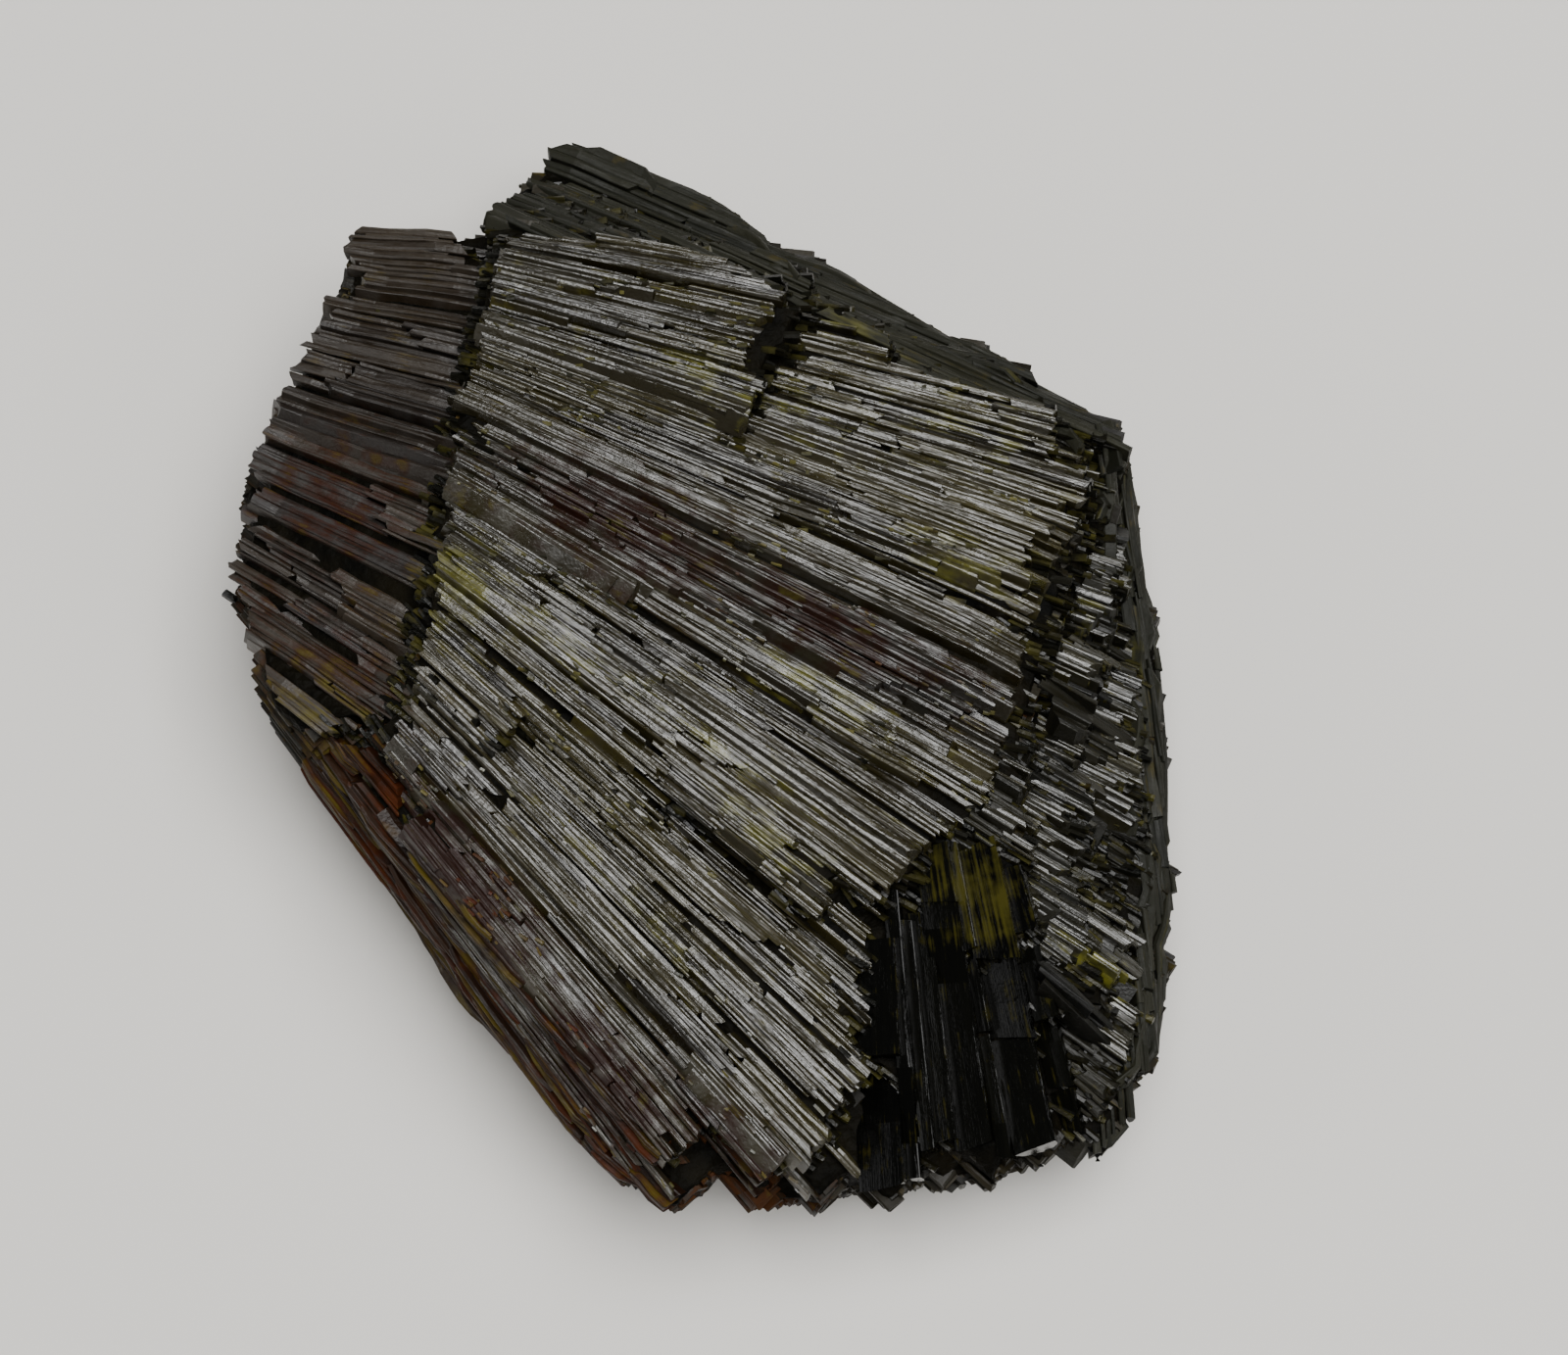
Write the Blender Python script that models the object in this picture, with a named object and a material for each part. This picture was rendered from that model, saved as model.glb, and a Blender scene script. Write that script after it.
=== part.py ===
"""Epidote crystal cluster: one hand specimen of dark striated blades grown together in fans.

The specimen lies on its flattest broken side with its broad striated face up. Plan sizes are in
millimetres on that face: x to the right, y away from the viewer, z up from the resting face.
Each pack is a layer of blades that spread from one growth point, and every blade is a
six-sided prism. All packs and the heart are joined in one solid, as the mineral grew.
"""

import collections
import math
import random

import bmesh
import bpy
from mathutils import Matrix

MM = 0.001
NODE_NAME = "epidote_cluster"

# Growth points that the blades spread from, in plan.
MAIN_GROWTH_POINT = (-50.5, 33.0)
SLAB_GROWTH_POINT = (-69.5, 36.0)
BEVEL_GROWTH_POINT = (-132.0, 88.0)
DARK_GROWTH_POINT = (7.0, 27.0)

# Shape of one blade, as shares of its half width and as millimetres.
CROWN_SHARE = 0.78
KEEL_SHARE = 0.80
SHOULDER_DROP = 0.75
SIDE_OVERLAP = 0.35
SEGMENT_OVERLAP = 0.8
TRIM_SHARE = 0.95
SHORTEST_STRIP = 3.0
SHORTEST_BLADE = 2.6
TIP_SHARE = 0.6

HALF_LENGTH = 33.0
LOWEST_KEEL = 0.35
RESTING_SCALE = 0.50
HEART_TOP_SCALE = 0.70
HEART_LEVEL = 7.0
HEART_TOP = 13.0
FLAT_ANGLE = math.radians(0.6)

# Widest outline of the whole specimen, clockwise from the left corner.
GIRDLE = [
    (-27.5, 6.0), (-26.9, 12.0), (-24.0, 20.0), (-21.4, 25.0), (-19.2, 27.8), (-12.2, 27.0),
    (-10.5, 31.6), (-8.0, 33.8), (-4.5, 33.2), (-0.5, 31.4), (5.0, 27.6), (16.0, 21.5),
    (21.5, 19.5), (24.5, 17.0), (25.2, 12.0), (26.0, 3.5), (26.6, -5.5), (26.4, -13.0),
    (26.0, -19.0), (25.0, -23.2), (21.0, -26.4), (14.0, -27.6), (7.5, -29.2), (0.0, -28.8),
    (-5.0, -26.6), (-7.0, -23.8), (-11.0, -19.6), (-15.0, -14.2), (-17.0, -9.8),
    (-21.6, -3.8), (-25.5, 1.0),
]

# Inner heart that the blades are rooted in.
HEART = [
    (-24.0, 12.0), (-18.0, 24.0), (-8.0, 29.0), (4.0, 24.5), (20.0, 15.0), (23.0, 0.0),
    (23.5, -16.0), (18.0, -24.0), (4.0, -26.0), (-4.0, -24.0), (-14.0, -13.0), (-24.0, 1.0),
]


def scaled(outline, share):
    """The outline drawn in or out about the specimen's middle."""
    return [(x * share, y * share) for x, y in outline]


def slope(level, at=(0.0, 0.0), rise_x=0.0, rise_y=0.0):
    """A flat face: its level at one plan point, and its rise for each millimetre along x and y."""
    def height(x, y):
        return level + rise_x * (x - at[0]) + rise_y * (y - at[1])
    return height


def under(first, second):
    """The lower of two faces at each point."""
    def height(x, y):
        return min(first(x, y), second(x, y))
    return height


def bowl(level, rim):
    """An underside that is at its level in the middle and reaches rim at the widest outline."""
    def height(x, y):
        return level + (rim - level) * (x * x + y * y) / HALF_LENGTH**2
    return height


def crossings(outline, origin, angle):
    """Distances from origin at which a ray turned clockwise by angle crosses the outline."""
    ray_x, ray_y = math.cos(angle), -math.sin(angle)
    found = []
    for (x0, y0), (x1, y1) in zip(outline, outline[1:] + outline[:1]):
        side0 = ray_x * (y0 - origin[1]) - ray_y * (x0 - origin[0])
        side1 = ray_x * (y1 - origin[1]) - ray_y * (x1 - origin[0])
        if (side0 > 0) == (side1 > 0):
            continue
        share = side0 / (side0 - side1)
        x, y = x0 + share * (x1 - x0), y0 + share * (y1 - y0)
        found.append((x - origin[0]) * ray_x + (y - origin[1]) * ray_y)
    return sorted(found)


def fan_strips(outline, origin, width, dice):
    """Angles between which the blades of a pack lie, counted clockwise from +x."""
    angles = [math.atan2(origin[1] - y, x - origin[0]) for x, y in outline]
    reach = sum(math.dist(origin, point) for point in outline) / len(outline)
    first, last = min(angles), max(angles)
    count = max(1, round((last - first) * reach / width))
    shares = [dice.uniform(0.7, 1.3) for _ in range(count)]
    bounds = [first + (last - first) * sum(shares[:k]) / sum(shares) for k in range(count + 1)]
    return list(zip(bounds, bounds[1:]))


def add_blade(solid, origin, strip, ends, top_of, floor_of, dice, rough):
    """One six-sided blade along its ray, wider at its far end, with slanting broken ends.

    Each of its two ends is a pair of distances: at the strip's first and at its last angle."""
    made = bmesh.ops.create_cone(
        solid, cap_ends=True, segments=6, radius1=1.0, radius2=1.0, depth=2.0
    )
    middle = (strip[0] + strip[1]) / 2
    half_angle = (strip[1] - strip[0]) / 2
    twist = dice.uniform(-0.5, 0.5) * rough
    lift = dice.uniform(-0.6, 0.6) * rough
    slants = dice.uniform(0.1, 1.0), dice.uniform(0.1, 1.0)
    drop = dice.uniform(-0.8, 0.5)
    for vertex in made["verts"]:
        far = vertex.co.z > 0
        is_crown, is_keel = vertex.co.x > 0.1, vertex.co.x < -0.1
        side = math.copysign(1.0, vertex.co.y)
        share = side * (CROWN_SHARE if is_crown else KEEL_SHARE if is_keel else 1.0)
        first, last = ends[1] if far else ends[0]
        distance = (first + last) / 2 + share * (last - first) / 2
        if is_crown:
            distance += -slants[1] if far else slants[0]
        if is_keel:
            distance += -slants[0] if far else slants[1]
        angle = middle + share * (half_angle + SIDE_OVERLAP / distance)
        x = origin[0] + distance * math.cos(angle)
        y = origin[1] - distance * math.sin(angle)
        top = top_of(x, y) + lift + twist * side
        keel = max(floor_of(x, y) + drop, LOWEST_KEEL)
        z = top if is_crown else keel if is_keel else max(top - SHOULDER_DROP, keel + 0.5)
        vertex.co = (x * MM, y * MM, z * MM)


def trimmed_end(outline, origin, strip, distance):
    """The end of a strip cut along the outline: its distances near the first and last angle."""
    middle = (strip[0] + strip[1]) / 2
    ends = []
    for edge in strip:
        angle = middle + (edge - middle) * TRIM_SHARE
        found = crossings(outline, origin, angle) or [distance]
        ends.append(min(found, key=lambda cut: abs(cut - distance)))
    return ends


def spread_apart(start, end):
    """Both ends of a blade, spread on each side that would be shorter than the shortest blade."""
    sides = []
    for near, far in zip(start, end):
        half = max(far - near, SHORTEST_BLADE) / 2
        sides.append(((near + far) / 2 - half, (near + far) / 2 + half))
    return list(zip(*sides))


def add_pack(solid, outline, origin, width, top_of, floor_of, seed, rough=1.0, ragged=0.8,
             pieces=1, trimmed=False):
    """A layer of blades that fills the outline, each broken across into up to so many pieces."""
    dice = random.Random(seed)
    for strip in fan_strips(outline, origin, width, dice):
        cuts = crossings(outline, origin, (strip[0] + strip[1]) / 2)
        for near, far in zip(cuts[::2], cuts[1::2]):
            shifts = dice.uniform(-ragged, ragged), dice.uniform(-ragged, ragged)
            count = dice.randint(1, pieces)
            if far - near < SHORTEST_STRIP:
                continue
            inner = near + SHORTEST_STRIP, far - SHORTEST_STRIP
            breaks = sorted(dice.uniform(*inner) for _ in range(count - 1))
            ends = [(near, near)] + [(cut, cut) for cut in breaks] + [(far, far)]
            if trimmed:
                ends[0] = trimmed_end(outline, origin, strip, near)
                ends[-1] = trimmed_end(outline, origin, strip, far)
            ends[0] = [cut + shifts[0] for cut in ends[0]]
            ends[-1] = [cut + shifts[1] for cut in ends[-1]]
            for start, end in zip(ends, ends[1:]):
                start = [cut - SEGMENT_OVERLAP for cut in start]
                if sum(end) - sum(start) > 2 * SHORTEST_BLADE:
                    both = spread_apart(start, end)
                    add_blade(solid, origin, strip, both, top_of, floor_of, dice, rough)


def add_lower_packs(solid):
    """The unseen half of the specimen: layers of keels drawn in towards the resting face."""
    add_pack(
        solid, scaled(GIRDLE, 0.83), MAIN_GROWTH_POINT, width=4.6, top_of=slope(6.5),
        floor_of=bowl(0.3, 4.6), seed=11, rough=0.5, ragged=0.9, pieces=2, trimmed=True,
    )
    add_pack(
        solid, scaled(GIRDLE, 0.93), MAIN_GROWTH_POINT, width=5.2, top_of=slope(8.0),
        floor_of=bowl(2.0, 5.4), seed=12, rough=0.5, ragged=0.7, trimmed=True,
    )
    add_pack(
        solid, GIRDLE, MAIN_GROWTH_POINT, width=3.8, top_of=slope(9.8, rise_y=0.02),
        floor_of=bowl(4.0, 6.4), seed=13, rough=0.8, ragged=0.35, trimmed=True,
    )
    cross_grown = [
        (5.0, 12.0), (21.0, 9.0), (23.5, -4.0), (22.5, -18.0), (15.0, -23.0), (8.0, -24.0),
    ]
    add_pack(
        solid, cross_grown, DARK_GROWTH_POINT, width=3.4, top_of=slope(6.0),
        floor_of=bowl(0.5, 3.6), seed=14, rough=0.5, pieces=2,
    )


def add_left_slab(solid):
    """The thinner slab beyond the long cross break, falling away to the left."""
    outline = [
        (-23.4, -2.4), (-26.0, 2.0), (-27.0, 6.0), (-26.2, 11.0), (-24.6, 15.0), (-22.6, 20.0),
        (-20.2, 25.0), (-19.0, 26.8), (-10.0, 25.0), (-10.0, 16.0), (-12.0, 4.0), (-14.0, -2.5),
    ]
    add_pack(
        solid, outline, SLAB_GROWTH_POINT, width=2.9,
        top_of=slope(17.3, (-14.0, 12.0), rise_x=0.30, rise_y=-0.03), floor_of=slope(7.5),
        seed=21, rough=0.7, ragged=0.5, pieces=2, trimmed=True,
    )


def add_main_plate(solid, plate_top):
    """The broad fan of the upper face, in a lower and an upper layer, ending in steps."""
    lower_outline = [
        (-17.6, -4.8), (-15.2, 3.0), (-14.0, 16.0), (-12.0, 25.0), (-9.5, 27.0), (6.0, 23.0),
        (20.0, 15.5), (23.0, 12.0), (22.5, 4.0), (20.0, -3.0), (19.0, -10.0), (14.0, -12.0),
        (10.0, -16.0), (10.0, -24.5), (5.0, -27.2), (-2.0, -27.2), (-8.5, -21.0), (-14.5, -12.5),
    ]
    add_pack(
        solid, lower_outline, MAIN_GROWTH_POINT, width=5.0,
        top_of=slope(14.2, rise_x=-0.03, rise_y=0.08), floor_of=slope(8.0), seed=31,
    )
    upper_outline = [
        (-18.0, -4.6), (-16.4, -1.4), (-15.1, 2.8), (-14.3, 9.0), (-13.9, 15.3), (-12.5, 19.6),
        (-11.2, 25.0), (-2.0, 23.8), (6.0, 21.0), (13.2, 16.7), (17.7, 15.3), (21.2, 11.4),
        (18.8, 7.0), (17.2, 3.6), (16.0, -2.0), (14.6, -7.2), (12.4, -9.8), (8.8, -13.5),
        (8.5, -17.0), (8.6, -20.0), (7.1, -25.4), (3.6, -26.8), (-1.3, -26.4), (-4.7, -24.2),
        (-9.2, -18.6), (-13.6, -12.4),
    ]
    add_pack(
        solid, upper_outline, MAIN_GROWTH_POINT, width=2.6, top_of=plate_top,
        floor_of=slope(11.5), seed=32, rough=0.8, pieces=3,
    )


def add_raised_plates(solid):
    """Plates that stand above the main fan, each ending in a dark broken step on the right."""
    top_left_plate = [
        (-13.4, 17.0), (-12.3, 20.5), (-11.0, 24.4), (-1.5, 24.0), (6.2, 21.4), (4.2, 17.5),
        (1.2, 13.4), (-4.0, 15.2),
    ]
    add_pack(
        solid, top_left_plate, MAIN_GROWTH_POINT, width=2.2,
        top_of=slope(21.0, (0, 18.0), rise_x=0.03, rise_y=0.05), floor_of=slope(14.0),
        seed=41, rough=0.35, ragged=0.3, trimmed=True,
    )
    near_ridge = [
        (-15.4, -1.0), (-14.6, 4.0), (-12.0, 7.0), (-2.0, 1.0), (8.0, -6.0), (12.3, -9.9),
        (8.4, -13.2), (3.0, -11.0), (-6.0, -6.5),
    ]
    add_pack(
        solid, near_ridge, MAIN_GROWTH_POINT, width=2.2,
        top_of=slope(18.8, (-2.0, -2.0), rise_x=-0.01, rise_y=0.08), floor_of=slope(13.0),
        seed=42, rough=0.5, pieces=2,
    )


def add_bevel(solid, plate_top):
    """The dull sloping face along the far edge: it falls across the line of its own blades."""
    outline = [
        (-12.0, 26.0), (-10.8, 31.2), (-8.4, 33.4), (-4.8, 32.8), (-0.5, 30.9), (5.0, 27.0),
        (16.0, 20.8), (21.0, 18.8), (24.0, 16.6), (23.6, 12.4), (6.0, 18.5), (-3.0, 22.0),
    ]
    falling = slope(18.2, (0, 21.1), rise_x=-0.43, rise_y=-1.08)
    add_pack(
        solid, outline, BEVEL_GROWTH_POINT, width=2.1, top_of=under(falling, plate_top),
        floor_of=slope(6.5), seed=51, rough=0.3, ragged=0.3, pieces=2, trimmed=True,
    )


def add_near_flank(solid, plate_top):
    """Long brown blades on the steep side towards the lower left."""
    outline = [
        (-24.0, -1.0), (-18.5, -1.5), (-13.0, -9.0), (-8.0, -16.0), (-2.5, -23.5), (-2.6, -26.6),
        (-6.0, -25.2), (-10.6, -20.0), (-14.6, -14.6), (-17.0, -10.4), (-21.2, -4.8),
    ]
    falling = slope(15.5, (-12.5, -11.5), rise_x=0.75, rise_y=0.52)
    add_pack(
        solid, outline, MAIN_GROWTH_POINT, width=2.2, top_of=under(falling, plate_top),
        floor_of=slope(6.0), seed=61, rough=0.6, ragged=0.7, pieces=3,
    )


def add_right_terraces(solid):
    """Blade ends that step down from the main fan to the right-hand edge."""
    terraces = (
        (16.2, [(14, 15), (21.6, 13.5), (22.2, 9.0), (20.2, 3.5), (18.6, -1.5), (18.0, -7.0),
                (17.5, -11.5), (10, -9), (12, 4)]),
        (13.8, [(16, 16), (23.0, 15.0), (24.0, 8.5), (22.8, 2.5), (21.4, -2.5), (21.0, -8.5),
                (23.6, -12.5), (23.0, -18.5), (16, -18), (14, -2)]),
        (11.6, [(16, 19), (24.0, 16.0), (24.8, 8.0), (25.2, 0.0), (25.2, -6.0), (25.6, -12.0),
                (25.2, -18.0), (24.0, -23.0), (16, -25), (14, -2)]),
    )
    for index, (level, outline) in enumerate(terraces):
        add_pack(
            solid, outline, MAIN_GROWTH_POINT, width=3.0,
            top_of=slope(level, (20, 0), rise_x=-0.12, rise_y=0.02), floor_of=slope(6.5),
            seed=71 + index, rough=0.8, ragged=0.5, pieces=2, trimmed=True,
        )


def add_dark_prisms(solid):
    """The near-black glassy group that runs towards the viewer at the lower right."""
    outline = [
        (9.6, -10.0), (16.5, -9.5), (17.6, -15.5), (19.8, -23.5), (20.6, -26.2), (16.0, -26.4),
        (9.5, -26.0), (8.8, -19.0), (9.2, -14.5),
    ]
    add_pack(
        solid, outline, DARK_GROWTH_POINT, width=2.2,
        top_of=slope(14.6, (13.5, -14.0), rise_x=-0.10, rise_y=0.13), floor_of=slope(6.0),
        seed=81, rough=0.35, ragged=0.4, pieces=2, trimmed=True,
    )
    olive_cap = [(12.4, -9.6), (16.8, -9.8), (17.6, -15.4), (13.0, -15.8)]
    add_pack(
        solid, olive_cap, DARK_GROWTH_POINT, width=2.0,
        top_of=slope(16.2, (15.0, -12.0), rise_x=-0.15, rise_y=0.10), floor_of=slope(10.0),
        seed=82, rough=0.2, ragged=0.2,
    )


def add_front_steps(solid):
    """Short brown blade ends at the near edge, below the main fan."""
    outline = [
        (-5.0, -23.0), (-5.0, -26.6), (0.0, -28.0), (7.5, -28.6), (11.5, -27.6), (20.0, -26.4),
        (19.0, -22.0), (9.5, -22.0),
    ]
    add_pack(
        solid, outline, MAIN_GROWTH_POINT, width=2.4,
        top_of=slope(12.0, (2.0, -26.0), rise_x=-0.02, rise_y=0.25), floor_of=slope(6.5),
        seed=91, rough=1.2, ragged=0.9,
    )


def add_small_crystals(solid):
    """Stubby crystals that lie along the crust, half sunk in it, one for each row."""
    crystals = (
        # Middle in millimetres, compass of its run and climb in degrees, half length, radius.
        ((26.1, -11.2, 8.6), -92, 3, 1.9, 1.0),
        ((25.4, 1.5, 9.4), 82, 10, 2.2, 0.9),
        ((4.0, -28.0, 9.2), -20, 8, 2.0, 0.9),
        ((15.6, -26.8, 8.4), 12, -6, 2.4, 1.0),
        ((22.8, -24.6, 8.2), 48, 4, 2.0, 1.0),
        ((-26.6, 9.6, 10.4), 96, 6, 2.4, 0.9),
        ((-22.4, 21.6, 9.6), 62, -4, 2.4, 1.0),
        ((2.0, 28.0, 8.2), -28, 4, 3.0, 1.1),
        ((13.8, 21.2, 8.4), -26, -5, 2.6, 1.0),
        ((-13.2, -16.6, 8.0), -54, 3, 3.0, 1.0),
        ((-8.6, -21.6, 6.8), -50, -4, 2.4, 0.8),
        ((6.0, 20.4, 18.4), 24, 20, 1.9, 0.8),
    )
    for middle, heading, climb, length, radius in crystals:
        made = bmesh.ops.create_cone(
            solid, cap_ends=True, segments=6, radius1=radius * MM,
            radius2=radius * TIP_SHARE * MM, depth=2 * length * MM,
        )
        turn = Matrix.Rotation(math.radians(heading), 4, "Z")
        turn @= Matrix.Rotation(math.radians(90 - climb), 4, "Y")
        place = Matrix.Translation([value * MM for value in middle])
        bmesh.ops.transform(solid, matrix=place @ turn, verts=made["verts"])


def add_heart(solid):
    """The body that the blades are rooted in: its flat underside is the resting face."""
    rings = ((RESTING_SCALE, 0.0), (1.0, HEART_LEVEL), (HEART_TOP_SCALE, HEART_TOP))
    for share, level in rings:
        for x, y in scaled(HEART, share):
            solid.verts.new((x * MM, y * MM, level * MM))
    hull = bmesh.ops.convex_hull(solid, input=solid.verts)
    bmesh.ops.delete(solid, geom=hull["geom_unused"] + hull["geom_interior"], context="VERTS")


def object_from(solid, name, collection):
    """The bmesh as a new object, with its faces pointing out."""
    bmesh.ops.recalc_face_normals(solid, faces=solid.faces)
    mesh = bpy.data.meshes.new(name)
    solid.to_mesh(mesh)
    solid.free()
    made = bpy.data.objects.new(name, mesh)
    collection.objects.link(made)
    return made


def closed_shells(solid):
    """The closed surfaces of the solid as lists of faces, smallest first.

    Two faces belong to one surface where they are the only two on a side."""
    on_side = collections.defaultdict(list)
    for face in solid.faces:
        for edge in face.edges:
            on_side[frozenset(edge.verts)].append(face)
    waiting = set(solid.faces)
    shells = []
    while waiting:
        shell, front = [], [waiting.pop()]
        while front:
            face = front.pop()
            shell.append(face)
            sides = [on_side[frozenset(edge.verts)] for edge in face.edges]
            for other in {near for side in sides if len(side) == 2 for near in side}:
                if other in waiting:
                    waiting.remove(other)
                    front.append(other)
        shells.append(shell)
    return sorted(shells, key=len)


def keep_outer_skin(mesh):
    """Leaves only the largest closed surface, so no sealed gap between blades stays inside."""
    solid = bmesh.new()
    solid.from_mesh(mesh)
    bmesh.ops.dissolve_limit(
        solid, angle_limit=FLAT_ANGLE, verts=solid.verts, edges=solid.edges
    )
    bmesh.ops.connect_verts_nonplanar(solid, angle_limit=FLAT_ANGLE, faces=solid.faces)
    bmesh.ops.triangulate(solid, faces=solid.faces)
    shells = closed_shells(solid)
    while len(shells) > 1:
        sealed = [face for shell in shells[:-1] for face in shell]
        bmesh.ops.delete(solid, geom=sealed, context="FACES")
        shells = closed_shells(solid)
    solid.to_mesh(mesh)
    solid.free()


def epidote_material():
    material = bpy.data.materials.new("epidote")
    material.use_nodes = True
    shader = material.node_tree.nodes["Principled BSDF"]
    shader.inputs["Base Color"].default_value = (0.030, 0.030, 0.014, 1.0)
    shader.inputs["Roughness"].default_value = 0.30
    shader.inputs["Metallic"].default_value = 0.0
    return material


def collection_named(name, parent):
    made = bpy.data.collections.new(name)
    parent.children.link(made)
    return made


def join_blades(heart, blades):
    """Joins every blade and the heart in one solid."""
    union = heart.modifiers.new("grown_together", "BOOLEAN")
    union.operation = "UNION"
    union.solver = "EXACT"
    union.use_self = True
    union.object = blades
    graph = bpy.context.evaluated_depsgraph_get()
    joined = bpy.data.meshes.new_from_object(heart.evaluated_get(graph))
    heart.modifiers.clear()
    heart.data = joined
    keep_outer_skin(joined)


def stand_on_origin(mesh):
    """Moves the specimen so that the origin is at the middle of its footprint box, underneath."""
    low = [min(vertex.co[axis] for vertex in mesh.vertices) for axis in range(3)]
    high = [max(vertex.co[axis] for vertex in mesh.vertices) for axis in range(3)]
    middle = (low[0] + high[0]) / 2, (low[1] + high[1]) / 2, low[2]
    mesh.transform(Matrix.Translation([-value for value in middle]))


def main():
    for old in list(bpy.data.objects):
        bpy.data.objects.remove(old)
    scene_collection = bpy.context.scene.collection
    specimen = collection_named("epidote_crystal_cluster", scene_collection)
    helpers = collection_named("helpers", scene_collection)

    plate_top = slope(18.0, (0, 5.0), rise_x=-0.02, rise_y=0.09)
    blade_mesh = bmesh.new()
    add_lower_packs(blade_mesh)
    add_left_slab(blade_mesh)
    add_main_plate(blade_mesh, plate_top)
    add_raised_plates(blade_mesh)
    add_bevel(blade_mesh, plate_top)
    add_near_flank(blade_mesh, plate_top)
    add_right_terraces(blade_mesh)
    add_dark_prisms(blade_mesh)
    add_front_steps(blade_mesh)
    add_small_crystals(blade_mesh)
    blades = object_from(blade_mesh, "blades", helpers)
    blades.hide_render = True
    blades.display_type = "WIRE"

    heart_mesh = bmesh.new()
    add_heart(heart_mesh)
    cluster = object_from(heart_mesh, NODE_NAME, specimen)
    join_blades(cluster, blades)
    stand_on_origin(cluster.data)
    cluster.data.materials.clear()
    cluster.data.materials.append(epidote_material())


main()
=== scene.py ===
import math
import random

import bmesh
import bpy
import numpy as np
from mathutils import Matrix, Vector, noise
from mathutils.bvhtree import BVHTree


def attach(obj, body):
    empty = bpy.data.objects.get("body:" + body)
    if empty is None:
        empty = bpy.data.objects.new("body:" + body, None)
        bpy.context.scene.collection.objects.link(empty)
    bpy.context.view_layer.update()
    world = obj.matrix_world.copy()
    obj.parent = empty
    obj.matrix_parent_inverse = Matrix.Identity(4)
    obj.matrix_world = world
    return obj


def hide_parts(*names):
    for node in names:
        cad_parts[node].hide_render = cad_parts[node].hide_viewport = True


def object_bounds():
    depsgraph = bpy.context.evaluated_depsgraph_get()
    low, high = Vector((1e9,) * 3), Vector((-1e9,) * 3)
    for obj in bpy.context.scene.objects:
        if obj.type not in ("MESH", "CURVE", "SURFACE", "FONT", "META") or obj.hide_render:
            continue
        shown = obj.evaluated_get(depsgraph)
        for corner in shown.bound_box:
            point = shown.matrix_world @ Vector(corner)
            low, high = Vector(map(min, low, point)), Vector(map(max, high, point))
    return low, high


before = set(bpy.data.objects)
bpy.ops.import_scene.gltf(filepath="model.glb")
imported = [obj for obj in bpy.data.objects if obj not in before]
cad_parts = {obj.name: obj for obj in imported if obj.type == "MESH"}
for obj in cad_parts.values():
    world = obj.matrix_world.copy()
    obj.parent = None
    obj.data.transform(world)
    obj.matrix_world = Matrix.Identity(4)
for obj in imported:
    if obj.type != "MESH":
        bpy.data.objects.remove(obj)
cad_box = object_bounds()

# Its near-black colour and its almost bare reflection are also painted shade for those gaps and
# steps.
# The dark mass in the middle: epidote grown through with epidote, near black where it is thick.
# It shows only in the gaps between the crystals, and as the flat broken face that it rests on.
# It is the imported solid drawn in by 0.4 mm, so that the crystals stand on it.

MM = 0.001
MASS_GRAIN = 0.55
MASS_DRAWN_IN = 0.40
MERGE_WITHIN = 0.01
RESTING_UNEVENNESS = 0.2


def linear(hex_colour):
    """An sRGB hex colour as linear red, green, blue and alpha."""
    parts = [int(hex_colour[place:place + 2], 16) / 255 for place in (1, 3, 5)]
    straight = [c / 12.92 if c <= 0.04045 else ((c + 0.055) / 1.055) ** 2.4 for c in parts]
    return [*straight, 1.0]


def add_node(tree, kind, feeds=None, **settings):
    """A new node with its settings. Feeds gives its inputs a value, a socket or a whole node."""
    node = tree.nodes.new(kind)
    for name, value in settings.items():
        setattr(node, name, value)
    for slot, feed in (feeds or {}).items():
        if isinstance(feed, bpy.types.Node):
            feed = feed.outputs[0]
        if isinstance(feed, bpy.types.NodeSocket):
            tree.links.new(feed, node.inputs[slot])
        else:
            node.inputs[slot].default_value = feed
    return node


def add_object(name, data):
    """A new object in the scene, of a mesh, a light or a camera."""
    made = bpy.data.objects.new(name, data)
    bpy.context.scene.collection.objects.link(made)
    return made


def new_material(name):
    """A new material, with its node tree and its shader."""
    material = bpy.data.materials.new(name)
    material.use_nodes = True
    return material, material.node_tree, material.node_tree.nodes["Principled BSDF"]


def massive_epidote():
    """Broken massive epidote: almost black, with a dull crumbly fracture."""
    material, tree, shader = new_material("massive_epidote_broken")
    place = add_node(tree, "ShaderNodeTexCoord")
    # Clouds of brown and green about 3 mm across, and fracture hackle about half a millimetre.
    clouds = add_node(tree, "ShaderNodeTexNoise", {"Vector": place.outputs["Object"],
                      "Scale": 330.0, "Detail": 4.0})
    tones = add_node(tree, "ShaderNodeValToRGB", {"Fac": clouds})
    tones.color_ramp.elements[0].color = linear("#040403")
    tones.color_ramp.elements[1].color = linear("#141109")
    tones.color_ramp.elements[0].position = 0.35
    tones.color_ramp.elements[1].position = 0.75
    tree.links.new(tones.outputs["Color"], shader.inputs["Base Color"])
    hackle = add_node(tree, "ShaderNodeTexNoise", {"Vector": place.outputs["Object"],
                      "Scale": 1500.0, "Detail": 3.0})
    bump = add_node(tree, "ShaderNodeBump", {"Height": hackle, "Strength": 0.8,
                    "Distance": 0.3 * MM})
    tree.links.new(bump.outputs["Normal"], shader.inputs["Normal"])
    # Near black and with almost no reflection: its own dark colour, and also painted shade for the
    # gaps and steps where it shows.
    shader.inputs["IOR"].default_value = 1.74
    shader.inputs["Roughness"].default_value = 0.6
    shader.inputs["Specular IOR Level"].default_value = 0.02
    return material


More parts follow.
